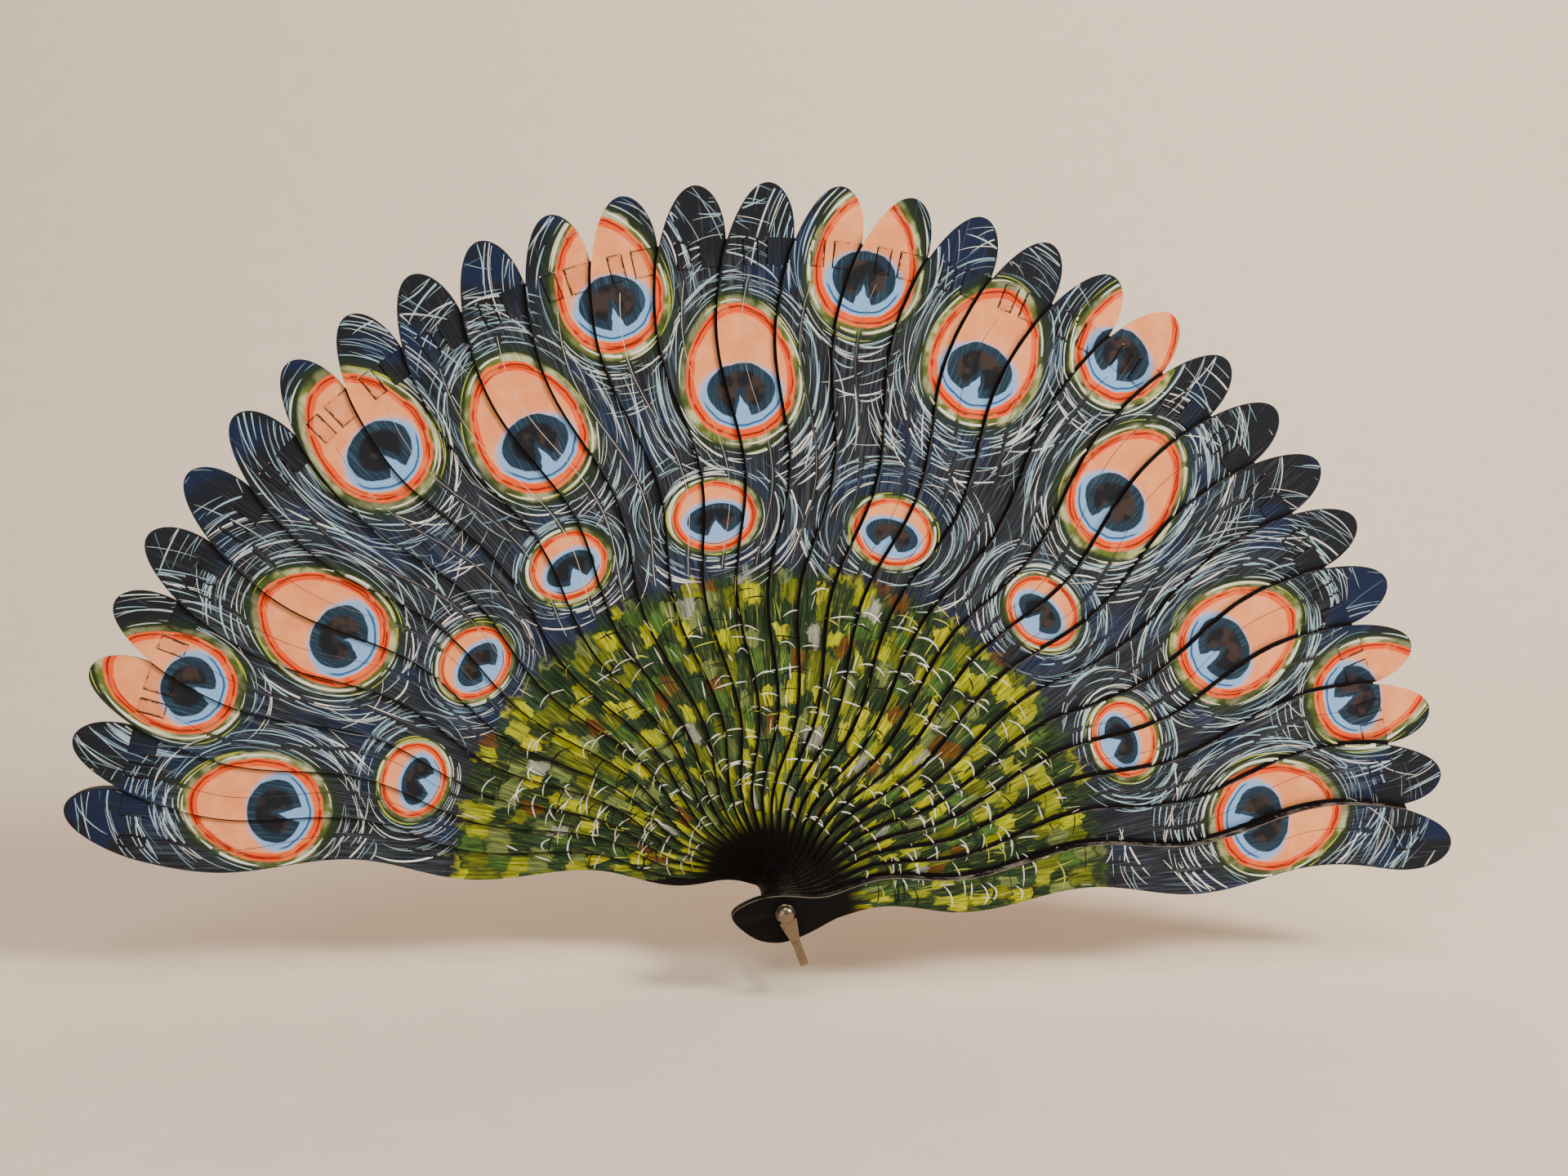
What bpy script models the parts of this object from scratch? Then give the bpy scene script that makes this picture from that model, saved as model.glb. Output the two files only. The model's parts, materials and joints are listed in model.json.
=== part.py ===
"""An all-stick folding hand fan: thirty painted wooden blades on one rivet.

The fan stands open and upright in the XZ plane. The origin is the rivet's axis at
the middle of the stack, and the painted front looks towards -Y. Blade 0 is the rear
guard at the left, blade 29 is the front guard at the right, and each thin stick lies
in front of its left neighbour. One ribbon is woven through slots near the tips.
"""

import math

import bmesh
import bpy
from mathutils import Matrix, Vector

# ---- driving dimensions, in metres and degrees ------------------------------------
BLADE_LENGTH = 0.230          # from the rivet's axis to a blade's tip
STICK_COUNT = 28              # thin sticks between the two guards
STICK_THICKNESS = 0.00085
STICK_GAP = 0.00035           # air between two layers
GUARD_THICKNESS = 0.0036
REAR_GUARD_ANGLE = 172.0      # measured from +X towards +Z
BLADE_STEP_ANGLE = 5.82       # between neighbouring blades when the fan is open

PIN_RADIUS = 0.0015
PIN_HOLE_RADIUS = 0.0017
COLLAR_RADIUS = 0.0029
COLLAR_THICKNESS = 0.0009
HEAD_RADIUS = 0.0029
HEAD_HEIGHT = 0.0022
HARDWARE_GAP = 0.0003         # between the guard, the collar, the loop and the head

LOOP_LENGTH = 0.0187          # from the rivet's axis to the loop's crossbar
LOOP_ANGLE = 20.0             # how far the loop hangs to the right of straight down
LOOP_EYE_RADIUS = 0.0031
LOOP_STRAP_THICKNESS = 0.0008
LOOP_STRAP_HALF_WIDTH = 0.0015
LOOP_BAR_RADIUS = 0.0009

RIBBON_THICKNESS = 0.0001
SLOT_WIDTH = 0.0008
SLOT_MARGIN = 0.0004          # how much longer a slot is than the ribbon is wide

# ---- shape of a blade, as shares of its length ------------------------------------
# The centre line sways from side to side; each pair is (distance from the rivet,
# sideways place) at one turning point, and between them it follows a half cosine.
CENTRE_TURNS = ((0.03, 0.006), (0.14, -0.012), (0.26, 0.0045), (0.44, -0.0195),
                (0.60, 0.001), (0.80, -0.0295), (1.02, 0.0))
HALF_WIDTH_AT_RIVET = 0.014
HALF_WIDTH_AT_SHOULDER = 0.0475
SHOULDER = 0.90               # the rounded tip begins here
NECK = 0.075                  # the head begins below this
SIDE_STATIONS = 15
TIP_STATIONS = 6
SLIT_FROM = 0.475
SLIT_TO = 0.875
SLIT_SWAY = 1.35              # the slit sways this much more than the blade
SLIT_STATIONS = 7
SLIT_HALF_WIDTH = 0.0006
# Outline of a blade's foot, from the right of the neck round to its left, (side, along)
GUARD_FOOT = ((0.0290, 0.045), (0.0390, 0.018), (0.0435, -0.012), (0.0330, -0.045),
              (0.0010, -0.073), (-0.0180, -0.045), (-0.0225, -0.005), (-0.0150, 0.045))
STICK_FOOT = ((0.0230, 0.050), (0.0340, 0.024), (0.0400, -0.003), (0.0290, -0.030),
              (0.0040, -0.038), (-0.0170, -0.026), (-0.0215, 0.002), (-0.0145, 0.045))

# ---- the ribbon's places, as angles off a blade's middle and shares of its length --
RIBBON_HALF_WIDTH = 0.0185
RIBBON_RADIUS = 0.9075
FRONT_GUARD_RIBBON_RADIUS = 0.930
STICK_SLOTS = (-2.24, -1.10, -0.19)
REAR_GUARD_SLOTS = (-1.95, -0.06)
FRONT_GUARD_SLOTS = (-1.86, 0.16)
RIBBON_END_REACH = 0.9        # how far each glued end runs past its last slot

HOLE_SIDES = 12
ROUND_SIDES = 24
LAYER_PITCH = STICK_THICKNESS + STICK_GAP
LAST_BLADE = STICK_COUNT + 1
COLLECTION_NAME = "folding_fan"


def start_collection():
    """Empty the file and give the collection that holds the fan."""
    for old in list(bpy.data.objects):
        bpy.data.objects.remove(old, do_unlink=True)
    collection = bpy.data.collections.new(COLLECTION_NAME)
    bpy.context.scene.collection.children.link(collection)
    return collection


def make_material(name, colour, roughness, metallic=0.0):
    """A plain Principled material with one colour."""
    material = bpy.data.materials.new(name)
    material.use_nodes = True
    shader = material.node_tree.nodes["Principled BSDF"]
    shader.inputs["Base Color"].default_value = (*colour, 1.0)
    shader.inputs["Roughness"].default_value = roughness
    shader.inputs["Metallic"].default_value = metallic
    material.diffuse_color = (*colour, 1.0)
    return material


def add_object(collection, name, data, material):
    """Link a named object with one material."""
    data.materials.clear()
    data.materials.append(material)
    thing = bpy.data.objects.new(name, data)
    collection.objects.link(thing)
    return thing


# ---- where the layers lie ----------------------------------------------------------
def stick_depth(index):
    """Y of the middle of stick `index`, counted from the rear guard."""
    return (LAST_BLADE / 2.0 - index) * LAYER_PITCH


def guard_depth():
    """How far the middle of each guard lies from the middle of the stack."""
    return stick_depth(1) + STICK_THICKNESS / 2.0 + STICK_GAP + GUARD_THICKNESS / 2.0


def blade_depth(index):
    """Y of the middle of blade `index`, guards included."""
    if index == 0:
        return guard_depth()
    if index == LAST_BLADE:
        return -guard_depth()
    return stick_depth(index)


def blade_thickness(index):
    """Thickness of blade `index`."""
    return GUARD_THICKNESS if index in (0, LAST_BLADE) else STICK_THICKNESS


def gap_depth(index):
    """Y of the middle of the air gap in front of blade `index`."""
    return blade_depth(index) - (blade_thickness(index) + STICK_GAP) / 2.0


def blade_angle(index):
    """Direction of blade `index` when the fan is open, from +X towards +Z."""
    return math.radians(REAR_GUARD_ANGLE - BLADE_STEP_ANGLE * index)


# ---- the blades --------------------------------------------------------------------
def centre_line(along):
    """Sideways place of a blade's centre line at one distance from the rivet."""
    low = CENTRE_TURNS[0]
    if along <= low[0]:
        return low[1]
    for high in CENTRE_TURNS[1:]:
        if along <= high[0]:
            share = (along - low[0]) / (high[0] - low[0])
            return low[1] + (high[1] - low[1]) * (1.0 - math.cos(math.pi * share)) / 2.0
        low = high
    return low[1]


def half_width(along):
    """Half a blade's width: a straight taper, closed by an ellipse at the tip."""
    if along <= SHOULDER:
        slope = (HALF_WIDTH_AT_SHOULDER - HALF_WIDTH_AT_RIVET) / SHOULDER
        return HALF_WIDTH_AT_RIVET + slope * along
    share = (along - SHOULDER) / (1.0 - SHOULDER)
    return HALF_WIDTH_AT_SHOULDER * math.sqrt(max(0.0, 1.0 - share * share))


def side_stations():
    """Distances from the rivet where the outline has points, from neck to tip."""
    span = SHOULDER - NECK
    sides = [NECK + span * n / (SIDE_STATIONS - 1) for n in range(SIDE_STATIONS)]
    turn = math.pi / 2.0 / TIP_STATIONS
    tips = [SHOULDER + (1.0 - SHOULDER) * math.sin(turn * n) for n in range(1, TIP_STATIONS)]
    return sides + tips


def blade_outline(foot):
    """A blade's outline, anticlockwise from the left of the neck's far end."""
    stations = side_stations()
    right = [(centre_line(v) + half_width(v), v) for v in stations]
    left = [(centre_line(v) - half_width(v), v) for v in stations]
    tip = [(centre_line(1.0), 1.0)]
    outline = list(foot[::-1]) + right + tip + left[::-1]
    return [(side * BLADE_LENGTH, along * BLADE_LENGTH) for side, along in outline]


def ring(radius, sides):
    """A regular polygon round the rivet's axis."""
    step = 2.0 * math.pi / sides
    return [(radius * math.cos(step * n), radius * math.sin(step * n)) for n in range(sides)]


def slit_outline():
    """The fine slit that follows the blade's sway."""
    span = SLIT_TO - SLIT_FROM
    stations = [SLIT_FROM + span * n / (SLIT_STATIONS - 1) for n in range(SLIT_STATIONS)]
    right = [(SLIT_SWAY * centre_line(v) + SLIT_HALF_WIDTH, v) for v in stations]
    left = [(SLIT_SWAY * centre_line(v) - SLIT_HALF_WIDTH, v) for v in stations[::-1]]
    return [(side * BLADE_LENGTH, along * BLADE_LENGTH) for side, along in right + left]


def slot_outline(offset, radius):
    """One ribbon slot, its long sides on rays from the rivet."""
    middle = radius * BLADE_LENGTH
    reach = RIBBON_HALF_WIDTH * BLADE_LENGTH + SLOT_MARGIN
    turn = SLOT_WIDTH / 2.0 / middle
    corners = []
    for distance, side in ((-reach, -1), (-reach, 1), (reach, 1), (reach, -1)):
        angle = math.radians(offset) + side * turn
        far = middle + distance
        corners.append((far * math.sin(angle), far * math.cos(angle)))
    return corners


def blade_slots(index):
    """Angles of a blade's slots off its middle, positive to the right."""
    if index == 0:
        return REAR_GUARD_SLOTS
    if index == LAST_BLADE:
        return FRONT_GUARD_SLOTS
    return STICK_SLOTS


def ribbon_radius(index):
    """Distance of the ribbon's middle from the rivet, at one blade."""
    return FRONT_GUARD_RIBBON_RADIUS if index == LAST_BLADE else RIBBON_RADIUS


def flat_curve(name, outlines, thickness):
    """A 2D curve of closed outlines, the first the edge and the others holes."""
    curve = bpy.data.curves.new(name, "CURVE")
    curve.dimensions = "2D"
    curve.fill_mode = "BOTH"
    curve.extrude = thickness / 2.0
    for outline in outlines:
        spline = curve.splines.new("POLY")
        spline.points.add(len(outline) - 1)
        for point, (x, y) in zip(spline.points, outline):
            point.co = (x, y, 0.0, 1.0)
        spline.use_cyclic_u = True
    return curve


def stand_blade(thing, index):
    """Turn a flat blade to its place in the open fan, front towards -Y."""
    thing.rotation_euler = (math.pi / 2.0, math.pi / 2.0 - blade_angle(index), 0.0)
    thing.location = (0.0, blade_depth(index), 0.0)


def blade_name(index):
    """The node name of one blade."""
    if index == 0:
        return "rear_guard"
    if index == LAST_BLADE:
        return "front_guard"
    return f"stick_{index:02d}"


def add_blades(collection, material):
    """The two guards and the thin sticks between them."""
    guard_edge = blade_outline(GUARD_FOOT)
    stick_edge = blade_outline(STICK_FOOT)
    for index in range(LAST_BLADE + 1):
        name = blade_name(index)
        edge = guard_edge if index in (0, LAST_BLADE) else stick_edge
        holes = [ring(PIN_HOLE_RADIUS, HOLE_SIDES), slit_outline()]
        holes += [slot_outline(offset, ribbon_radius(index)) for offset in blade_slots(index)]
        curve = flat_curve(name, [edge, *holes], blade_thickness(index))
        stand_blade(add_object(collection, name, curve, material), index)


# ---- the rivet and its loop ----------------------------------------------------------
def hardware_depths():
    """Y distances of the collar, the loop's strap and the head from the middle."""
    guard_face = guard_depth() + GUARD_THICKNESS / 2.0
    collar = guard_face + HARDWARE_GAP
    strap = collar + COLLAR_THICKNESS + HARDWARE_GAP
    head = strap + LOOP_STRAP_THICKNESS + HARDWARE_GAP
    return collar, strap, head


def turned(collection, name, profile, material, sides=ROUND_SIDES):
    """A solid turned about Y from (radius, y) points that run down its outer side."""
    mesh = bpy.data.meshes.new(name)
    points = [(radius, height, 0.0) for radius, height in profile]
    edges = [(n, n + 1) for n in range(len(points) - 1)]
    mesh.from_pydata(points, edges, [])
    thing = add_object(collection, name, mesh, material)
    screw = thing.modifiers.new("turn", "SCREW")
    screw.axis = "Y"
    screw.steps = sides
    screw.render_steps = sides
    screw.use_merge_vertices = True
    screw.merge_threshold = 0.00001
    screw.use_smooth_shade = True
    return thing


def dome(base, height, radius, stations=5):
    """A domed head's outer side, from its crown down to its rim at `base`."""
    turn = math.pi / 2.0 / stations
    return [(radius * math.sin(turn * n), base + height * math.cos(turn * n))
            for n in range(stations + 1)]


def add_rivet(collection, material):
    """The pin with its front head, the rear burr and a collar under each."""
    collar, _, head = hardware_depths()
    crown = dome(head, HEAD_HEIGHT, HEAD_RADIUS)
    tail = head + HEAD_HEIGHT * 0.75
    pin = crown + [(PIN_RADIUS, head), (PIN_RADIUS, -tail), (0.0, -tail)]
    turned(collection, "pivot_pin", pin, material).rotation_euler = (0.0, 0.0, math.pi)
    bore = PIN_RADIUS + HARDWARE_GAP / 2.0
    burr = [(bore, head + HEAD_HEIGHT * 0.6), (bore + 0.0006, head + HEAD_HEIGHT * 0.6),
            (HEAD_RADIUS - 0.0004, head + HEAD_HEIGHT * 0.3), (HEAD_RADIUS, head),
            (bore, head), (bore, head + HEAD_HEIGHT * 0.6)]
    turned(collection, "rear_burr", burr, material)
    for name, heading in (("rear_collar", 0.0), ("front_collar", math.pi)):
        washer = [(bore, collar + COLLAR_THICKNESS), (COLLAR_RADIUS, collar + COLLAR_THICKNESS),
                  (COLLAR_RADIUS, collar), (bore, collar), (bore, collar + COLLAR_THICKNESS)]
        turned(collection, name, washer, material).rotation_euler = (0.0, 0.0, heading)


def strap_outline():
    """One leg of the loop: a round eye that tapers to a narrow strap, hanging down."""
    start = math.radians(-50.0)
    sweep = math.radians(280.0)
    eye = []
    for n in range(15):
        angle = start + sweep * n / 14
        eye.append((LOOP_EYE_RADIUS * math.cos(angle), LOOP_EYE_RADIUS * math.sin(angle)))
    foot = LOOP_LENGTH + LOOP_BAR_RADIUS
    waist = LOOP_LENGTH * 0.42
    left = [(-LOOP_STRAP_HALF_WIDTH, -waist), (-LOOP_STRAP_HALF_WIDTH, -foot + 0.0006)]
    toe = [(-LOOP_STRAP_HALF_WIDTH + 0.0006, -foot), (LOOP_STRAP_HALF_WIDTH - 0.0006, -foot)]
    right = [(LOOP_STRAP_HALF_WIDTH, -foot + 0.0006), (LOOP_STRAP_HALF_WIDTH, -waist)]
    return eye + left + toe + right


def as_mesh(collection, thing):
    """A curve object turned into a mesh object whose caps are joined on."""
    bpy.context.view_layer.update()
    depsgraph = bpy.context.evaluated_depsgraph_get()
    mesh = bpy.data.meshes.new_from_object(thing.evaluated_get(depsgraph))
    work = bmesh.new()
    work.from_mesh(mesh)
    bmesh.ops.remove_doubles(work, verts=work.verts, dist=0.000001)
    work.to_mesh(mesh)
    work.free()
    name = thing.name
    placed = thing.matrix_world.copy()
    bpy.data.objects.remove(thing, do_unlink=True)
    solid = bpy.data.objects.new(name, mesh)
    solid.matrix_world = placed
    collection.objects.link(solid)
    return solid


def add_tassel_loop(collection, cutters, material):
    """The U-shaped loop: two straps on the rivet and a round bar across the stack."""
    _, strap_depth, _ = hardware_depths()
    depth = strap_depth + LOOP_STRAP_THICKNESS / 2.0
    hole = ring(PIN_HOLE_RADIUS, HOLE_SIDES)
    legs = []
    for name, y in (("tassel_loop", -depth), ("rear_strap", depth)):
        curve = flat_curve(name, [strap_outline(), hole], LOOP_STRAP_THICKNESS)
        leg = add_object(collection, name, curve, material)
        leg.rotation_euler = (math.pi / 2.0, 0.0, 0.0)
        leg.location = (0.0, y, 0.0)
        legs.append(as_mesh(collection, leg))
    bpy.ops.mesh.primitive_cylinder_add(
        vertices=12, radius=LOOP_BAR_RADIUS, depth=2.0 * depth, end_fill_type="NGON",
        location=(0.0, 0.0, -LOOP_LENGTH + LOOP_BAR_RADIUS * 0.2),
        rotation=(math.pi / 2.0, 0.0, 0.0))
    bar = bpy.context.active_object
    bar.name = "loop_bar"
    loop, rear_strap = legs
    swing = Matrix.Rotation(math.radians(-LOOP_ANGLE), 4, "Y")
    for piece in (loop, rear_strap, bar):
        bpy.context.view_layer.update()
        piece.matrix_world = swing @ piece.matrix_world
    for piece in (rear_strap, bar):
        for home in list(piece.users_collection):
            home.objects.unlink(piece)
        cutters.objects.link(piece)
        piece.hide_render = True
        piece.display_type = "WIRE"
        joined = loop.modifiers.new(piece.name, "BOOLEAN")
        joined.operation = "UNION"
        joined.solver = "EXACT"
        joined.object = piece


# ---- the ribbon ----------------------------------------------------------------------
def ribbon_stops():
    """The ribbon's route, as (angle round the rivet, y, distance from the rivet).

    Its middle runs in the air gap in front of a blade, goes through a slot, and runs
    behind that blade or in front of it until the next slot.
    """
    stops = []

    def through(index, offset, gaps):
        """Cross one blade in one slot, from the first gap's depth to the second's."""
        angle = blade_angle(index) - math.radians(offset)
        for depth in gaps:
            stops.append((angle, depth, ribbon_radius(index) * BLADE_LENGTH))

    rear = guard_depth() + (GUARD_THICKNESS + STICK_GAP) / 2.0
    front_of_front = -rear
    first, last = REAR_GUARD_SLOTS
    start = blade_angle(0) - math.radians(first - RIBBON_END_REACH)
    stops.append((start, gap_depth(0), RIBBON_RADIUS * BLADE_LENGTH))
    through(0, first, (gap_depth(0), rear))
    through(0, last, (rear, gap_depth(0)))
    for index in range(1, LAST_BLADE):
        behind, ahead = gap_depth(index - 1), gap_depth(index)
        enter, back, out = STICK_SLOTS
        through(index, enter, (behind, ahead))
        through(index, back, (ahead, behind))
        through(index, out, (behind, ahead))
    behind = gap_depth(LAST_BLADE - 1)
    enter, out = FRONT_GUARD_SLOTS
    through(LAST_BLADE, enter, (behind, front_of_front))
    through(LAST_BLADE, out, (front_of_front, behind))
    end = blade_angle(LAST_BLADE) - math.radians(out + RIBBON_END_REACH)
    stops.append((end, behind, FRONT_GUARD_RIBBON_RADIUS * BLADE_LENGTH))
    return stops


def ribbon_edges(stops):
    """The two faces' lines of the ribbon: its route moved half a thickness each way."""
    flat = [Vector((-angle * far, depth)) for angle, depth, far in stops]
    faces = ([], [])
    for n, here in enumerate(flat):
        into = (here - flat[n - 1]).normalized() if n else None
        away = (flat[n + 1] - here).normalized() if n + 1 < len(flat) else None
        into = into or away
        away = away or into
        normal = Vector((-into.y - away.y, into.x + away.x)).normalized()
        spread = normal.dot(Vector((-into.y, into.x)))
        shift = normal * (RIBBON_THICKNESS / 2.0 / spread)
        for face, side in zip(faces, (1.0, -1.0)):
            moved = here + side * shift
            face.append((-moved.x / stops[n][2], moved.y, stops[n][2]))
    return faces


def add_ribbon(collection, material):
    """One closed strip, lofted between its inner and outer edges round the rivet."""
    upper, lower = ribbon_edges(ribbon_stops())
    section = upper + lower[::-1]
    reach = RIBBON_HALF_WIDTH * BLADE_LENGTH
    work = bmesh.new()
    rows = []
    for side in (-reach, reach):
        row = [work.verts.new(((far + side) * math.cos(angle), depth,
                               (far + side) * math.sin(angle)))
               for angle, depth, far in section]
        rows.append(row)
    inner, outer = rows
    count = len(section)
    half = count // 2
    for n in range(count):
        after = (n + 1) % count
        work.faces.new((inner[n], inner[after], outer[after], outer[n]))
    for row in rows:
        for n in range(half - 1):
            work.faces.new((row[n], row[n + 1], row[count - 2 - n], row[count - 1 - n]))
    bmesh.ops.recalc_face_normals(work, faces=work.faces)
    mesh = bpy.data.meshes.new("ribbon")
    work.to_mesh(mesh)
    work.free()
    add_object(collection, "ribbon", mesh, material)


def main():
    """Build the fan."""
    collection = start_collection()
    cutters = bpy.data.collections.new("joined_pieces")
    bpy.context.scene.collection.children.link(cutters)
    wood = make_material("painted_wood", (0.10, 0.12, 0.10), 0.45)
    nickel = make_material("nickel", (0.72, 0.70, 0.66), 0.22, 1.0)
    cloth = make_material("ribbon_cloth", (0.03, 0.03, 0.045), 0.8)
    add_blades(collection, wood)
    add_rivet(collection, nickel)
    add_tassel_loop(collection, cutters, nickel)
    add_ribbon(collection, cloth)


main()
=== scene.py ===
"""Looks of an open all-stick folding fan: painted wooden blades on one rivet.

Every blade is a thin wooden plate, swaying from side to side, with a fine slit down its
middle and ribbon slots near its tip. The front is painted across the open fan with rows
of feather eyes on a dark ground, and greens towards the rivet. Raised brush strokes lie
on the paint, a ribbon is laced through the slots, and a metal loop hangs on the rivet.
"""

import json
import logging
import math
from dataclasses import dataclass, field
from enum import Enum, IntEnum
from functools import lru_cache

import bpy
import numpy as np
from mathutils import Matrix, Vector

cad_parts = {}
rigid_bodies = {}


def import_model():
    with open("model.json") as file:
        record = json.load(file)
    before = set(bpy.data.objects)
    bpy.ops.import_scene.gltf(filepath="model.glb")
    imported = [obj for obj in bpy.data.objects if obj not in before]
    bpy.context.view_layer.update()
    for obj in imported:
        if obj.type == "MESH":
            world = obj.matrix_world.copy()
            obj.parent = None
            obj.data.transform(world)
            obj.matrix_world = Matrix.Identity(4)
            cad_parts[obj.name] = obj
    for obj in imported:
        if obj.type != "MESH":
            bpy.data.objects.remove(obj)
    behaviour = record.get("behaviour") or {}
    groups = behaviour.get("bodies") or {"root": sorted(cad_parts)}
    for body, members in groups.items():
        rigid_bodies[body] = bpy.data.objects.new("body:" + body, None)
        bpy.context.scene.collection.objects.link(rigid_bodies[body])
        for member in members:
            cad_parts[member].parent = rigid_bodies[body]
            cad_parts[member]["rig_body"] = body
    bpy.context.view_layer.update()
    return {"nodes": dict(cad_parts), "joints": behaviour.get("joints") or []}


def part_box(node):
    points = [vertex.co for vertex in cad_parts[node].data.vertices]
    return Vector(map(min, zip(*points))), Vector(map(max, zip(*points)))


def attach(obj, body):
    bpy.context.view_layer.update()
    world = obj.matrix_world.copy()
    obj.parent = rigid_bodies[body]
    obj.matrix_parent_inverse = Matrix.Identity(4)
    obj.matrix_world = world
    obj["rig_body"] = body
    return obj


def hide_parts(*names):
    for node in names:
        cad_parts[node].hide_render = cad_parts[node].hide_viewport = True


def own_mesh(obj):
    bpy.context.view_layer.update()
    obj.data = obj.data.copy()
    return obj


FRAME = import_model()

logging.basicConfig(level=logging.INFO, format="%(message)s")
LOG = logging.getLogger("fan")

MM = 0.001
Colour = tuple[float, float, float]
Socket = bpy.types.NodeSocket


# ---- Measures taken from the frame ----
@dataclass(frozen=True)
class FanLayout:
    """Where the blades lie in the open fan.

    Attributes:
        step: angle between neighbouring blades, in radians.
        names: the blades' names from the rear guard to the front guard.
        length: distance from the rivet's axis to a blade's tip, in metres.
        rear_angle: direction of the rear guard, in radians from +X towards +Z.
    """

    step: float
    names: tuple[str, ...]
    length: float = 0.230
    rear_angle: float = math.radians(172.0)

    @staticmethod
    def from_frame() -> "FanLayout":
        """Read the blades' names and spacing from the frame's joints.

        Returns:
            The layout of the open fan.
        """
        sticks = sorted(name for name in FRAME["nodes"] if name.startswith("stick_"))
        names = ("rear_guard", *sticks, "front_guard")
        fold = next(j for j in FRAME["joints"] if j["name"] == "fan_fold")
        step = math.radians(max(fold["range_deg"])) / (len(names) - 1)
        return FanLayout(step, names)

    @property
    def count(self) -> int:
        """Number of blades, guards included."""
        return len(self.names)

    @property
    def last(self) -> int:
        """Index of the front guard. The rear guard's is 0."""
        return len(self.names) - 1

    def angle(self, index: int) -> float:
        """Direction of one blade in the open fan."""
        return self.rear_angle - self.step * index

    def body(self, index: int) -> str:
        """Name of the body that one blade rides on."""
        return FRAME["nodes"][self.names[index]]["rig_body"]

    def faces(self, index: int) -> tuple[float, float]:
        """Y of one blade's front face and of its back face."""
        low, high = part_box(self.names[index])
        return low.y, high.y

    def to_world(self, index: int, side: np.ndarray, along: np.ndarray) -> np.ndarray:
        """Turn places on a blade into places in the fan's plane.

        The blade's own axes are turned by its angle: along points from the rivet to the
        tip and side points clockwise from it.

        Args:
            index: which blade.
            side: sideways places, in metres.
            along: distances along the blade, in metres.

        Returns:
            An array of (x, z) pairs.
        """
        turn = self.angle(index)
        x = along * math.cos(turn) + side * math.sin(turn)
        z = along * math.sin(turn) - side * math.cos(turn)
        return np.stack([x, z], axis=-1)

    def to_blade(self, index: int, places: np.ndarray) -> tuple[np.ndarray, np.ndarray]:
        """The reverse of to_world: (side, along) of places in the fan's plane."""
        turn = self.angle(index)
        x, z = places[..., 0], places[..., 1]
        side = x * math.sin(turn) - z * math.cos(turn)
        return side, x * math.cos(turn) + z * math.sin(turn)


# ---- Outline of a blade ----
def ease(share: np.ndarray) -> np.ndarray:
    """Half a cosine wave from 0 to 1, held at both ends."""
    return (1.0 - np.cos(np.pi * np.clip(share, 0.0, 1.0))) / 2.0


def swaying(turns: tuple[tuple[float, float], ...], where: np.ndarray) -> np.ndarray:
    """A line that runs through turning points, with half a cosine between each two.

    Args:
        turns: (place, value) at each turning point.
        where: places to read the line at.

    Returns:
        The line's values.
    """
    places = np.array([t[0] for t in turns])
    values = np.array([t[1] for t in turns])
    low = np.clip(np.searchsorted(places, where) - 1, 0, len(turns) - 2)
    share = (where - places[low]) / (places[low + 1] - places[low])
    return values[low] + (values[low + 1] - values[low]) * ease(share)


class Foot(Enum):
    """The two shapes of a blade's foot, from the right of the neck round to its left.

    Each value is a row of (side, along) points, as shares of the blade's length.
    """

    GUARD = ((0.0290, 0.045), (0.0390, 0.018), (0.0435, -0.012), (0.0330, -0.045),
             (0.0010, -0.073), (-0.0180, -0.045), (-0.0225, -0.005), (-0.0150, 0.045))
    STICK = ((0.0230, 0.050), (0.0340, 0.024), (0.0400, -0.003), (0.0290, -0.030),
             (0.0040, -0.038), (-0.0170, -0.026), (-0.0215, 0.002), (-0.0145, 0.045))


def smooth_through(points: np.ndarray, steps: int) -> np.ndarray:
    """A curve through points, each stretch a cubic whose slopes come from its neighbours.

    Args:
        points: the points; the first and the last only give slopes.
        steps: how many samples each stretch has.

    Returns:
        The curve's samples.
    """
    t = np.linspace(0.0, 1.0, steps, endpoint=False)[None, :, None]
    before, start, end, after = (points[n:len(points) - 3 + n, None] for n in range(4))
    curve = 0.5 * (2.0 * start + (end - before) * t
                   + (2.0 * before - 5.0 * start + 4.0 * end - after) * t ** 2
                   + (3.0 * start - before - 3.0 * end + after) * t ** 3)
    return np.concatenate([curve.reshape(-1, 2), points[-2:-1]])


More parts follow.
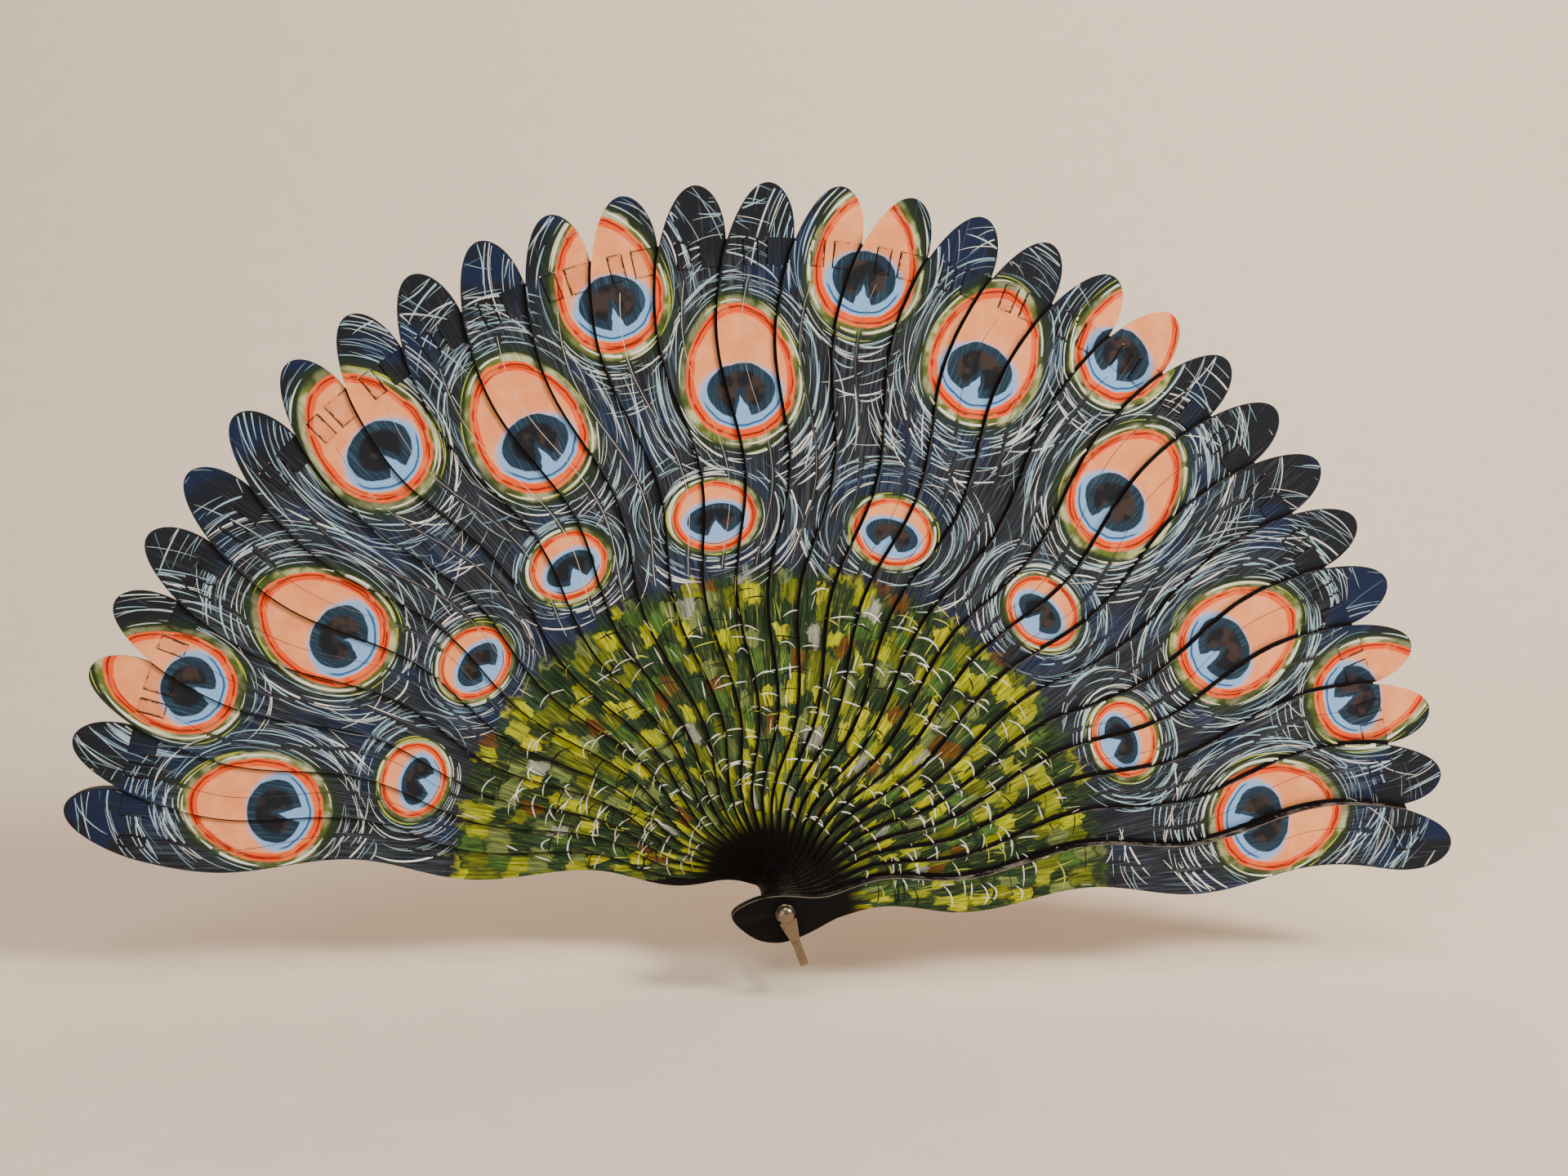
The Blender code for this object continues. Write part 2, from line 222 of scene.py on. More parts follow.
@dataclass(frozen=True)
class BladeShape:
    """Outline of a blade, with every place a share of the blade's length.

    The centre line sways between turning points. The half width is a straight taper,
    closed at the tip by an ellipse. The slots' turns are degrees off the blade's middle.
    """

    turns: tuple[tuple[float, float], ...] = (
        (0.03, 0.006), (0.14, -0.012), (0.26, 0.0045), (0.44, -0.0195),
        (0.60, 0.001), (0.80, -0.0295), (1.02, 0.0))
    half_at_rivet: float = 0.014
    half_at_shoulder: float = 0.0475
    shoulder: float = 0.90
    neck: float = 0.075
    neck_lead: float = 0.03
    foot_samples: int = 24
    slit_from: float = 0.475
    slit_to: float = 0.875
    slit_sway: float = 1.35
    slit_half: float = 0.0004
    slot_half_reach: float = 0.0190
    slot_half_width: float = 0.0017
    slot_radius: float = 0.9075
    guard_slot_radius: float = 0.930
    rear_slots: tuple[float, ...] = (-1.95, -0.06)
    stick_slots: tuple[float, ...] = (-2.24, -1.10, -0.19)
    front_slots: tuple[float, ...] = (-1.86, 0.16)

    def centre(self, along: np.ndarray) -> np.ndarray:
        """Sideways place of the centre line."""
        return swaying(self.turns, along)

    def half(self, along: np.ndarray) -> np.ndarray:
        """Half the width: a taper up to the shoulder, then a quarter ellipse."""
        slope = (self.half_at_shoulder - self.half_at_rivet) / self.shoulder
        share = np.clip((along - self.shoulder) / (1.0 - self.shoulder), 0.0, 1.0)
        taper = self.half_at_rivet + slope * np.minimum(along, self.shoulder)
        return taper * np.sqrt(1.0 - share ** 2)

    def edges(self, along: np.ndarray, foot: Foot) -> tuple[np.ndarray, np.ndarray]:
        """Left and right edge, with the foot's own turning points below the neck.

        Args:
            along: distances from the rivet.
            foot: which foot the blade has.

        Returns:
            Sideways places of the left and the right edge.
        """
        middle, half = self.centre(along), self.half(along)
        left, right = (np.interp(along, line[:, 1], line[:, 0]) for line in self.foot_edges(foot))
        below = along < self.neck
        return np.where(below, left, middle - half), np.where(below, right, middle + half)

    @lru_cache
    def foot_edges(self, foot: Foot) -> tuple[np.ndarray, np.ndarray]:
        """The foot's outline, a smooth curve through its points and the neck's.

        Args:
            foot: which foot.

        Returns:
            The left and the right edge as rows of (side, along), from the end upwards.
        """
        places = np.array([self.neck, self.neck + self.neck_lead])
        middle, half = self.centre(places), self.half(places)
        right = np.column_stack([middle + half, places])[::-1]
        left = np.column_stack([middle - half, places])
        knots = np.concatenate([right, np.array(foot.value), left])
        curve = smooth_through(knots, self.foot_samples)
        lowest = int(curve[:, 1].argmin())
        return curve[lowest:], curve[lowest::-1]

    def foot_end(self, foot: Foot) -> float:
        """How far below the rivet the foot reaches, as a negative share."""
        return float(self.foot_edges(foot)[0][0, 1])

    def slit(self, along: np.ndarray) -> np.ndarray:
        """Sideways place of the slit's middle: the centre line with more sway."""
        return self.slit_sway * self.centre(along)

    def slots(self, index: int, last: int) -> tuple[tuple[float, ...], float]:
        """Angles of a blade's slots off its middle, and their distance from the rivet.

        Args:
            index: which blade.
            last: index of the front guard.

        Returns:
            The slots' angles in radians, and the distance as a share of the length.
        """
        degrees, radius = self.stick_slots, self.slot_radius
        if index == 0:
            degrees = self.rear_slots
        elif index == last:
            degrees, radius = self.front_slots, self.guard_slot_radius
        return tuple(math.radians(turn) for turn in degrees), radius


# ---- Meshes from grids ----
@dataclass
class Surface:
    """A mesh in the making: points, four-sided faces, a material number for each face."""

    points: np.ndarray
    quads: np.ndarray
    slots: np.ndarray

    def make(self, name: str, materials: list[bpy.types.Material],
             smooth: bool) -> bpy.types.Object:
        """Put the surface into a mesh object at the origin.

        Args:
            name: the piece's name.
            materials: its materials, in the order of the slot numbers.
            smooth: whether its faces are shaded smooth.

        Returns:
            The new object, linked to the scene.
        """
        used, remap = np.unique(self.quads, return_inverse=True)
        quads = remap.reshape(self.quads.shape)
        mesh = bpy.data.meshes.new(name)
        mesh.vertices.add(len(used))
        mesh.vertices.foreach_set("co", self.points[used].astype(np.float32).ravel())
        mesh.loops.add(quads.size)
        mesh.loops.foreach_set("vertex_index", quads.ravel().astype(np.int32))
        mesh.polygons.add(len(quads))
        starts = np.arange(len(quads), dtype=np.int32) * quads.shape[1]
        mesh.polygons.foreach_set("loop_start", starts)
        mesh.polygons.foreach_set("material_index", self.slots.astype(np.int32))
        mesh.polygons.foreach_set("use_smooth", np.full(len(quads), smooth))
        mesh.update(calc_edges=True)
        for material in materials:
            mesh.materials.append(material)
        piece = bpy.data.objects.new(name, mesh)
        bpy.context.scene.collection.objects.link(piece)
        return piece


def closed_grid(points: np.ndarray, around: bool, along: bool) -> np.ndarray:
    """Quads of a grid of points, which may close on itself in either direction.

    Args:
        points: an array of rows and columns of points.
        around: whether the last column meets the first.
        along: whether the last row meets the first.

    Returns:
        Quads as indices into the flattened points, facing the cross product of the
        column direction and the row direction.
    """
    rows, columns = points.shape[:2]
    ids = np.arange(rows * columns).reshape(rows, columns)
    if around:
        ids = np.concatenate([ids, ids[:, :1]], axis=1)
    if along:
        ids = np.concatenate([ids, ids[:1]], axis=0)
    corners = [ids[:-1, :-1], ids[:-1, 1:], ids[1:, 1:], ids[1:, :-1]]
    return np.stack(corners, axis=-1).reshape(-1, 4)


def capped(ring: np.ndarray) -> np.ndarray:
    """Quads that close an even ring of point numbers, facing the ring's own turn."""
    size = len(ring)
    return np.array([[ring[n], ring[n + 1], ring[size - 2 - n], ring[size - 1 - n]]
                     for n in range(size // 2 - 1)])


# ---- The painting's plan ----
class EyeRow(Enum):
    """The three rows of feather eyes.

    Each value is (half height along the blade, half width across, drop of the pupil).
    Heights and widths are shares of the blade's length, to the outside of the orange
    ring, and the drop is a share of the eye's half height.
    """

    OUTER = (0.092, 0.071, 0.27)
    MIDDLE = (0.093, 0.075, 0.27)
    INNER = (0.046, 0.056, 0.10)


TALL_DROP = 0.2     # an eye whose pupil drops by more than this is a tall, egg-shaped one
EGG = 0.13          # how much such an eye narrows from its middle to its outer end


@dataclass(frozen=True)
class Eye:
    """One feather eye on the open fan.

    Attributes:
        row: the row it belongs to.
        angle: its direction from the rivet, in degrees from +X towards +Z.
        reach: its distance from the rivet, as a share of the blade's length.
        scale: its size against its row's.
    """

    row: EyeRow
    angle: float
    reach: float
    scale: float


EYE_PLACES: dict[EyeRow, tuple[tuple[float, float, float], ...]] = {
    EyeRow.OUTER: ((159.2, 0.895, 0.98), (130.5, 0.860, 1.04), (105.0, 0.890, 1.0),
                   (82.0, 0.905, 1.0), (57.5, 0.935, 0.96), (18.0, 0.920, 1.0)),
    EyeRow.MIDDLE: ((170.0, 0.745, 1.0), (148.2, 0.740, 1.0), (117.2, 0.750, 1.0),
                    (93.8, 0.745, 1.0), (69.0, 0.825, 1.0), (49.3, 0.765, 1.0),
                    (28.4, 0.760, 1.0), (8.2, 0.735, 1.0)),
    EyeRow.INNER: ((162.2, 0.540, 1.0), (141.5, 0.540, 1.0), (121.4, 0.555, 1.0),
                   (99.0, 0.550, 1.05), (72.4, 0.545, 1.02), (47.0, 0.555, 1.0),
                   (24.0, 0.545, 1.0)),
}
EYES = tuple(Eye(row, *place) for row, places in EYE_PLACES.items() for place in places)


@dataclass
class Painting:
    """Where the painting's eyes are, and what every place on the fan belongs to.

    Attributes:
        uncovered: exposure of a place that no blade lies in front of, in metres.
        slit_keep: how far from a slit's middle no blade counts as shown, in metres.
        centres: the eyes' (x, z) places.
        frames: for each eye, its sideways and its outward direction.
        sizes: the eyes' half width and half height.
        drops: the eyes' drop of the pupil.
    """

    layout: FanLayout
    shape: BladeShape
    eyes: tuple[Eye, ...] = EYES
    uncovered: float = 0.02
    slit_keep: float = 0.0002
    centres: np.ndarray = field(init=False)
    frames: np.ndarray = field(init=False)
    sizes: np.ndarray = field(init=False)
    drops: np.ndarray = field(init=False)

    def __post_init__(self) -> None:
        """Work out each eye's centre, its axes and its half sizes in metres."""
        turn = np.radians([eye.angle for eye in self.eyes])
        reach = np.array([eye.reach for eye in self.eyes]) * self.layout.length
        outward = np.stack([np.cos(turn), np.sin(turn)], axis=-1)
        sideways = np.stack([np.sin(turn), -np.cos(turn)], axis=-1)
        self.centres = outward * reach[:, None]
        self.frames = np.stack([sideways, outward], axis=1)
        scale = np.array([eye.scale for eye in self.eyes]) * self.layout.length
        self.sizes = np.array([eye.row.value[1::-1] for eye in self.eyes]) * scale[:, None]
        self.drops = np.array([eye.row.value[2] for eye in self.eyes])

    def eye_places(self, places: np.ndarray) -> np.ndarray:
        """Places in every eye's own axes, in units of its half sizes.

        Args:
            places: an array (..., 2) in the fan's plane.

        Returns:
            An array (..., eyes, 2): sideways and outward.
        """
        away = places[..., None, :] - self.centres
        return np.einsum("...ec,eac->...ea", away, self.frames) / self.sizes

    def nearest_eye(self, places: np.ndarray) -> tuple[np.ndarray, np.ndarray]:
        """Which eye each place belongs to, and how far it is in the eye's own units."""
        away = np.linalg.norm(self.eye_places(places), axis=-1)
        return away.argmin(axis=-1), away.min(axis=-1)

    def exposure(self, index: int, places: np.ndarray) -> np.ndarray:
        """How far each place on a blade lies from its right neighbour's left edge.

        Args:
            index: the blade that the places are on.
            places: an array (..., 2) in the fan's plane.

        Returns:
            Metres, positive where the blade shows and negative where it is covered.
        """
        length, last = self.layout.length, self.layout.last
        if index == last:
            return np.full(places.shape[:-1], self.uncovered)
        side, along = self.layout.to_blade(index + 1, places)
        foot = self.foot(index + 1)
        left, _ = self.shape.edges(along / length, foot)
        beyond = (along > length) | (along < self.shape.foot_end(foot) * length)
        return np.where(beyond, self.uncovered, left * length - side)

    def foot(self, index: int) -> Foot:
        """Which foot a blade has."""
        return Foot.GUARD if index in (0, self.layout.last) else Foot.STICK

    def owner(self, places: np.ndarray, margin: float) -> np.ndarray:
        """The blade that shows at each place, or -1 off the fan and near an edge.

        Args:
            places: an array (..., 2) in the fan's plane.
            margin: how far to keep from edges and slits, in metres.

        Returns:
            Indices of blades.
        """
        length, shape = self.layout.length, self.shape
        found = np.full(places.shape[:-1], -1)
        for index in range(self.layout.count):
            side, along = self.layout.to_blade(index, places)
            share = along / length
            foot = self.foot(index)
            left, right = (edge * length for edge in shape.edges(share, foot))
            within = (share > shape.foot_end(foot)) & (share < 1.0)
            covers = within & (side > left - margin) & (side < right + margin)
            clear = within & (side > left + margin) & (side < right - margin)
            slit = np.abs(side - shape.slit(share) * length) < margin + self.slit_keep
            in_slit = slit & (share > shape.slit_from) & (share < shape.slit_to)
            found = np.where(covers, np.where(clear & ~in_slit, index, -1), found)
        return found

    def mark(self, piece: bpy.types.Object, index: int) -> None:
        """Store on a piece's face corners where they lie in the painting.

        "eye_place" is the place in the nearest eye's own axes and the pupil's drop. A
        face takes one eye for all its corners, so nothing blurs between two eyes.
        "fan_place" is the direction from the rivet in radians, the share of the length,
        and the exposure in millimetres.

        Args:
            piece: a mesh object in the open fan.
            index: the blade whose layer it lies in.
        """
        mesh = piece.data
        points = np.empty(len(mesh.vertices) * 3, np.float32)
        mesh.vertices.foreach_get("co", points)
        flat = points.reshape(-1, 3)[:, [0, 2]].astype(float)
        corner = np.empty(len(mesh.loops), np.int32)
        mesh.loops.foreach_get("vertex_index", corner)
        totals = np.empty(len(mesh.polygons), np.int32)
        mesh.polygons.foreach_get("loop_total", totals)
        starts = np.concatenate([[0], np.cumsum(totals)[:-1]])
        at_corner = flat[corner]
        middles = np.add.reduceat(at_corner, starts, axis=0) / totals[:, None]
        eye = np.repeat(self.nearest_eye(middles)[0], totals)
        local = self.eye_places(at_corner)[np.arange(len(corner)), eye]
        self.store(mesh, "eye_place", np.column_stack([local, self.drops[eye]]))
        turn = np.arctan2(flat[:, 1], flat[:, 0])
        reach = np.hypot(flat[:, 0], flat[:, 1]) / self.layout.length
        shown = self.exposure(index, flat) / MM
        self.store(mesh, "fan_place", np.column_stack([turn, reach, shown])[corner])

    @staticmethod
    def store(mesh: bpy.types.Mesh, name: str, values: np.ndarray) -> None:
        """Write a vector for each face corner under one attribute name."""
        attribute = mesh.attributes.new(name, "FLOAT_VECTOR", "CORNER")
        attribute.data.foreach_set("vector", values.astype(np.float32).ravel())


# ---- Finishes ----
class Shader:
    """A small helper that adds and links a material's nodes.

    A matt surface has only a little specular light, so SPECULAR is low.
    """

    SPECULAR = 0.09

    def __init__(self, name: str) -> None:
        """Start a material with a plain Principled shader."""
        self.material = bpy.data.materials.new(name)
        self.material.use_nodes = True
        self.tree = self.material.node_tree
        self.surface = self.tree.nodes["Principled BSDF"]
        self.surface.inputs["Specular IOR Level"].default_value = self.SPECULAR

    def put(self, socket: Socket, value: object) -> None:
        """Link a socket to another, or set its value."""
        if isinstance(value, Socket):
            self.tree.links.new(value, socket)
        elif isinstance(value, tuple) and len(value) == 3 and socket.type == "RGBA":
            socket.default_value = (*value, 1.0)
        else:
            socket.default_value = value

    def node(self, kind: str, **inputs: object) -> bpy.types.Node:
        """Add a node and fill its inputs, named with spaces as underscores."""
        made = self.tree.nodes.new(kind)
        for name, value in inputs.items():
            self.put(made.inputs[name.replace("_", " ")], value)
        return made

    def math(self, operation: str, first: object, second: object = 0.0,
             third: object = 0.0) -> Socket:
        """A Math node's result."""
        made = self.tree.nodes.new("ShaderNodeMath")
        made.operation = operation
        for socket, value in zip(made.inputs, (first, second, third)):
            self.put(socket, value)
        return made.outputs[0]

    def step(self, value: object, start: float, end: float) -> Socket:
        """A soft step between two values.

        Args:
            value: what is tested.
            start: where the step is 0.
            end: where the step is 1, which may lie below the start.

        Returns:
            The step, smooth between the two.
        """
        made = self.tree.nodes.new("ShaderNodeMapRange")
        made.interpolation_type = "SMOOTHSTEP"
        self.put(made.inputs["Value"], value)
        falling = start > end
        self.put(made.inputs["From Min"], min(start, end))
        self.put(made.inputs["From Max"], max(start, end))
        self.put(made.inputs["To Min"], 1.0 if falling else 0.0)
        self.put(made.inputs["To Max"], 0.0 if falling else 1.0)
        return made.outputs["Result"]

    def band(self, value: object, low: float, high: float, soft: float) -> Socket:
        """1 between low and high, with soft shoulders."""
        return self.math("MULTIPLY", self.step(value, low - soft, low + soft),
                         self.step(value, high + soft, high - soft))

    def mix(self, share: object, first: object, second: object, how: str = "MIX") -> Socket:
        """Two colours mixed by a share.

        A Mix node's colour sockets are inputs 6 and 7, and output 2.
        """
        made = self.tree.nodes.new("ShaderNodeMix")
        made.data_type = "RGBA"
        made.blend_type = how
        self.put(made.inputs[0], share)
        self.put(made.inputs[6], first)
        self.put(made.inputs[7], second)
        return made.outputs[2]

    def shade(self, colour: object, factor: object) -> Socket:
        """A colour multiplied by one number."""
        return self.mix(1.0, colour, self.join(factor, factor, factor), "MULTIPLY")

    def split(self, value: Socket, kind: str = "XYZ") -> tuple[Socket, ...]:
        """The three numbers of a vector, or of a colour if the kind is Color."""
        made = self.tree.nodes.new(f"ShaderNodeSeparate{kind}")
        self.tree.links.new(value, made.inputs[0])
        return tuple(made.outputs)

    def place(self, name: str) -> tuple[Socket, ...]:
        """An attribute's three numbers."""
        made = self.tree.nodes.new("ShaderNodeAttribute")
        made.attribute_name = name
        return self.split(made.outputs["Vector"])

    def join(self, x: object, y: object, z: object = 0.0) -> Socket:
        """Three numbers joined to a vector."""
        return self.node("ShaderNodeCombineXYZ", X=x, Y=y, Z=z).outputs[0]

    def noise(self, vector: object, scale: float, detail: float = 3.0,
              rough: float = 0.55) -> Socket:
        """A Noise Texture's value."""
        made = self.node("ShaderNodeTexNoise", Vector=vector, Scale=scale, Detail=detail,
                         Roughness=rough)
        return made.outputs["Fac"]

    def streaks(self, turn: object, reach: object, scales: tuple[float, float],
                detail: float = 2.0, rough: float = 0.55) -> Socket:
        """Noise over the open fan, scaled across the blades and along them."""
        stretched = self.join(self.math("MULTIPLY", turn, scales[0]),
                              self.math("MULTIPLY", reach, scales[1]))
        return self.noise(stretched, 1.0, detail, rough)

    def object_place(self) -> Socket:
        """The place in the object's own axes."""
        return self.tree.nodes.new("ShaderNodeTexCoord").outputs["Object"]

    def ramp(self, value: object, stops: tuple[tuple[float, Colour], ...]) -> Socket:
        """A choice of colours: each holds from its stop to the next.

        Args:
            value: what chooses, from 0 to 1.
            stops: (place, colour) in rising order.

        Returns:
            The chosen colour.
        """
        made = self.tree.nodes.new("ShaderNodeValToRGB")
        made.color_ramp.interpolation = "CONSTANT"
        elements = made.color_ramp.elements
        while len(elements) < len(stops):
            elements.new(0.5)
        for element, (where, colour) in zip(elements, stops):
            element.position = where
            element.color = (*colour, 1.0)
        self.put(made.inputs[0], value)
        return made.outputs[0]

    def bump(self, height: object, strength: float, distance: float) -> None:
        """Give the surface a bump from a height."""
        made = self.node("ShaderNodeBump", Height=height, Strength=strength, Distance=distance)
        self.tree.links.new(made.outputs[0], self.surface.inputs["Normal"])

    def finish(self, colour: object, rough: object) -> bpy.types.Material:
        """Set the surface's colour and roughness, and hand over the material."""
        self.put(self.surface.inputs["Base Color"], colour)
        self.put(self.surface.inputs["Roughness"], rough)
        return self.material


@dataclass(frozen=True)
class EyeColours:
    """Colours of a feather eye, from its pupil outwards (linear light)."""

    pupil: Colour = (0.015, 0.030, 0.050)
    pupil_light: Colour = (0.038, 0.082, 0.128)
    core: Colour = (0.013, 0.014, 0.018)
    core_light: Colour = (0.045, 0.032, 0.028)
    blue: Colour = (0.230, 0.430, 0.720)
    blue_line: Colour = (0.025, 0.085, 0.240)
    peach: Colour = (0.860, 0.285, 0.103)
    peach_light: Colour = (0.950, 0.360, 0.150)
    orange: Colour = (0.860, 0.075, 0.008)
    rust: Colour = (0.200, 0.016, 0.006)
    cream: Colour = (0.560, 0.560, 0.300)
    lime: Colour = (0.130, 0.165, 0.030)
    leaf: Colour = (0.020, 0.036, 0.010)


@dataclass(frozen=True)
class GroundColours:
    """Colours of the ground under the eyes and of the greens near the rivet."""

    slate: Colour = (0.012, 0.013, 0.017)
    navy: Colour = (0.010, 0.017, 0.046)
    smoke: Colour = (0.110, 0.138, 0.170)
    gorge: Colour = (0.003, 0.0025, 0.0025)
    shine: Colour = (0.390, 0.380, 0.020)
    under: tuple[Colour, Colour] = ((0.006, 0.013, 0.007), (0.034, 0.058, 0.020))
    dabs: tuple[tuple[float, Colour], ...] = (
        (0.00, (0.016, 0.036, 0.014)),
        (0.20, (0.110, 0.130, 0.012)),
        (0.33, (0.330, 0.350, 0.004)),
        (0.45, (0.050, 0.110, 0.022)),
        (0.55, (0.240, 0.260, 0.014)),
        (0.68, (0.120, 0.052, 0.010)),
        (0.73, (0.130, 0.170, 0.050)),
        (0.84, (0.024, 0.052, 0.024)),
        (0.92, (0.230, 0.250, 0.190)),
        (0.95, (0.400, 0.390, 0.006)),
    )


@dataclass(frozen=True)
class PaintedFront:
    """Acrylic paint on the blades' fronts, and on the ribbon where it shows.

    Attributes:
        name: the material's name.
        cloth: how strongly a ribbon's weave shows through, from 0 to 1.
        eye: the eyes' colours.
        ground: the ground's colours.
        hem: colour of a ribbon's edges and of its folds at the slots.
        gap_line_and_shadow: colour of the line left along the next blade's edge, partly dark
            ground left unpainted and partly painted shadow.
        shaded_bare_wood: colour of the wood that was covered while the paint went on, darkened
            as painted shade.
    """

    name: str
    cloth: float = 0.0
    eye: EyeColours = EyeColours()
    ground: GroundColours = GroundColours()
    hem: Colour = (0.022, 0.010, 0.007)
    gap_line_and_shadow: Colour = (0.005, 0.004, 0.004)
    shaded_bare_wood: Colour = (0.120, 0.090, 0.065)

    def build(self) -> bpy.types.Material:
        """Mix the painting from the two stored places.

        Returns:
            The material.
        """
        shader = Shader(self.name)
        turn, reach, shown = shader.place("fan_place")
        streak = shader.streaks(turn, reach, (300.0, 11.0), 4.0, 0.6)
        spots = shader.object_place()
        colour = self.ground_colour(shader, turn, reach, spots, streak)
        colour, eye_height = self.eye_colour(shader, colour, spots, streak)
        # Along the next blade's edge: a black line that is partly painted shadow, and painted
        # shade.
        colour = self.paint_edge_and_shadow(shader, colour, shown, turn, reach, streak)
        height = shader.math("MULTIPLY_ADD", streak, 0.8, eye_height)
        if self.cloth:
            height = shader.math("ADD", height, self.weave(shader, turn, reach))
            across, corner, _ = shader.place("strip_place")
            hem = shader.math("MAXIMUM", shader.step(shader.math("ABSOLUTE", across), 0.86, 0.94),
                              shader.step(corner, 0.50, 0.25))
            broken = shader.step(shader.noise(spots, 420.0, 2.0), 0.44, 0.56)
            hem = shader.math("MULTIPLY", hem, shader.math("MULTIPLY_ADD", broken, 0.70, 0.12))
            colour = shader.mix(hem, colour, self.hem)
        shader.bump(height, 0.35 + 0.3 * self.cloth, 0.00012)
        rough = shader.math("MULTIPLY_ADD", streak, 0.30, 0.34 + 0.25 * self.cloth)
        return shader.finish(colour, rough)

    def ground_colour(self, shader: Shader, turn: object, reach: object, spots: object,
                      streak: object) -> Socket:
        """The dark ground, smoky under the eyes, green dabs below and black at the foot.

        Args:
            shader: the material in the making.
            turn: direction from the rivet.
            reach: distance from the rivet.
            spots: place in the object's axes.
            streak: noise along the blades.

        Returns:
            The ground's colour.
        """
        patches = shader.step(shader.noise(spots, 42.0, 2.0), 0.50, 0.62)
        colour = shader.mix(patches, self.ground.slate, self.ground.navy)
        smoke = shader.math("MULTIPLY", shader.band(reach, 0.46, 0.90, 0.06),
                            shader.step(streak, 0.42, 0.72))
        colour = shader.mix(shader.math("MULTIPLY", smoke, 0.50), colour, self.ground.smoke)
        dry = shader.math("MULTIPLY", shader.step(streak, 0.56, 0.74), 0.35)
        colour = shader.mix(dry, colour, self.ground.smoke)
        colour = self.green_dabs(shader, colour, turn, reach, streak)
        ragged = shader.math("MULTIPLY_ADD", streak, 0.035, reach)
        foot = shader.step(ragged, 0.150, 0.105)
        return shader.mix(foot, colour, self.ground.gorge)

    def green_dabs(self, shader: Shader, colour: object, turn: object, reach: object,
                   streak: object) -> Socket:
        """Short brush dabs in rings round the rivet, each one colour, over dark green.

        The cells are about 5 mm across and 7 mm long. Their coordinates are the direction
        times 16.5 and the share of the length times 33, with a little noise.

        Args:
            shader: the material in the making.
            colour: the colour so far.
            turn: direction from the rivet.
            reach: distance from the rivet.
            streak: noise along the blades.

        Returns:
            The colour with the greens laid over it.
        """
        wobble = shader.streaks(turn, reach, (40.0, 50.0))
        push = shader.math("SUBTRACT", wobble, 0.5)
        hairs = shader.streaks(turn, reach, (125.0, 24.0), 3.0, 0.6)
        hair = shader.math("MULTIPLY_ADD", streak, 0.35, shader.math("MULTIPLY", hairs, 0.65))
        across = shader.math("MULTIPLY_ADD", turn, 16.5, shader.math("MULTIPLY", push, 0.5))
        along = shader.math("MULTIPLY_ADD", reach, 33.0, shader.math("MULTIPLY", push, 1.2))
        cells = shader.node("ShaderNodeTexVoronoi", Vector=shader.join(across, along), Scale=1.0,
                            Randomness=0.75)
        cells.voronoi_dimensions = "2D"
        cells.distance = "MINKOWSKI"
        cells.inputs["Exponent"].default_value = 5.0
        which, chance, _ = shader.split(cells.outputs["Color"], "Color")
        light = shader.math("MULTIPLY_ADD", shader.step(hair, 0.36, 0.62), 1.15, 0.35)
        dab = shader.shade(shader.ramp(which, self.ground.dabs), light)
        core = shader.math("MULTIPLY_ADD", hair, 1.3, cells.outputs["Distance"])
        covers = shader.math("MULTIPLY", shader.step(core, 1.26, 1.06),
                             shader.step(chance, 0.12, 0.16))
        under = shader.mix(shader.step(hair, 0.38, 0.62), *self.ground.under)
        green = shader.mix(covers, under, dab)
        shine = shader.math("MULTIPLY", shader.step(hair, 0.53, 0.66),
                            shader.step(wobble, 0.44, 0.56))
        green = shader.mix(shader.math("MULTIPLY", shine, 0.55), green, self.ground.shine)
        edge = shader.math("MULTIPLY_ADD", push, 0.075, reach)
        return shader.mix(shader.step(edge, 0.475, 0.452), colour, green)

    def eye_colour(self, shader: Shader, ground: object, spots: object,
                   streak: object) -> tuple[Socket, Socket]:
        """Lay the eye's rings over the ground, from the outside in.

        The eye's radius is 1 at the outside of its orange ring. The eye is egg-shaped:
        its width shrinks as the place moves outwards.

        Args:
            shader: the material in the making.
            ground: the colour under the eye.
            spots: place in the object's axes.
            streak: noise along the blades.

        Returns:
            The colour, and a height that is 1 on the thickest paint.
        """
        eye, step, calc = self.eye, shader.step, shader.math
        patchy = shader.noise(spots, 130.0, 2.0)
        push = shader.split(patchy.node.outputs["Color"], "Color")
        side, out, drop = shader.place("eye_place")
        side = calc("MULTIPLY_ADD", calc("SUBTRACT", push[0], 0.5), 0.09, side)
        out = calc("MULTIPLY_ADD", calc("SUBTRACT", push[1], 0.5), 0.09, out)
        tall = calc("GREATER_THAN", drop, TALL_DROP)
        narrowing = calc("MULTIPLY_ADD", calc("MULTIPLY", out, tall), EGG, 1.0)
        radius = self.length(shader, calc("MULTIPLY", side, narrowing), out)

        halo = step(calc("MULTIPLY_ADD", streak, 0.12, radius), 1.42, 1.14)
        colour = shader.mix(calc("MULTIPLY", halo, 0.85), ground, eye.leaf)
        outer = shader.mix(step(patchy, 0.40, 0.60), eye.cream, eye.lime)
        ring = calc("MULTIPLY", step(calc("MULTIPLY_ADD", patchy, 0.10, radius), 1.20, 1.12),
                    calc("MULTIPLY_ADD", step(streak, 0.30, 0.60), 0.45, 0.50))
        gaps = step(shader.noise(spots, 48.0, 2.0), 0.42, 0.58)
        ring = calc("MULTIPLY", ring, calc("MULTIPLY_ADD", gaps, 0.65, 0.35))
        colour = shader.mix(ring, colour, outer)
        ragged = calc("MULTIPLY_ADD", patchy, 0.025, radius)
        orange = shader.mix(shader.band(ragged, 0.945, 0.975, 0.012), eye.orange, eye.rust)
        orange = shader.mix(calc("MULTIPLY", step(patchy, 0.5, 0.6), 0.35), orange, eye.peach)
        colour = shader.mix(step(radius, 1.015, 0.995), colour, orange)
        peach = shader.mix(step(patchy, 0.35, 0.7), eye.peach, eye.peach_light)
        colour = shader.mix(step(radius, 0.865, 0.845), colour, peach)

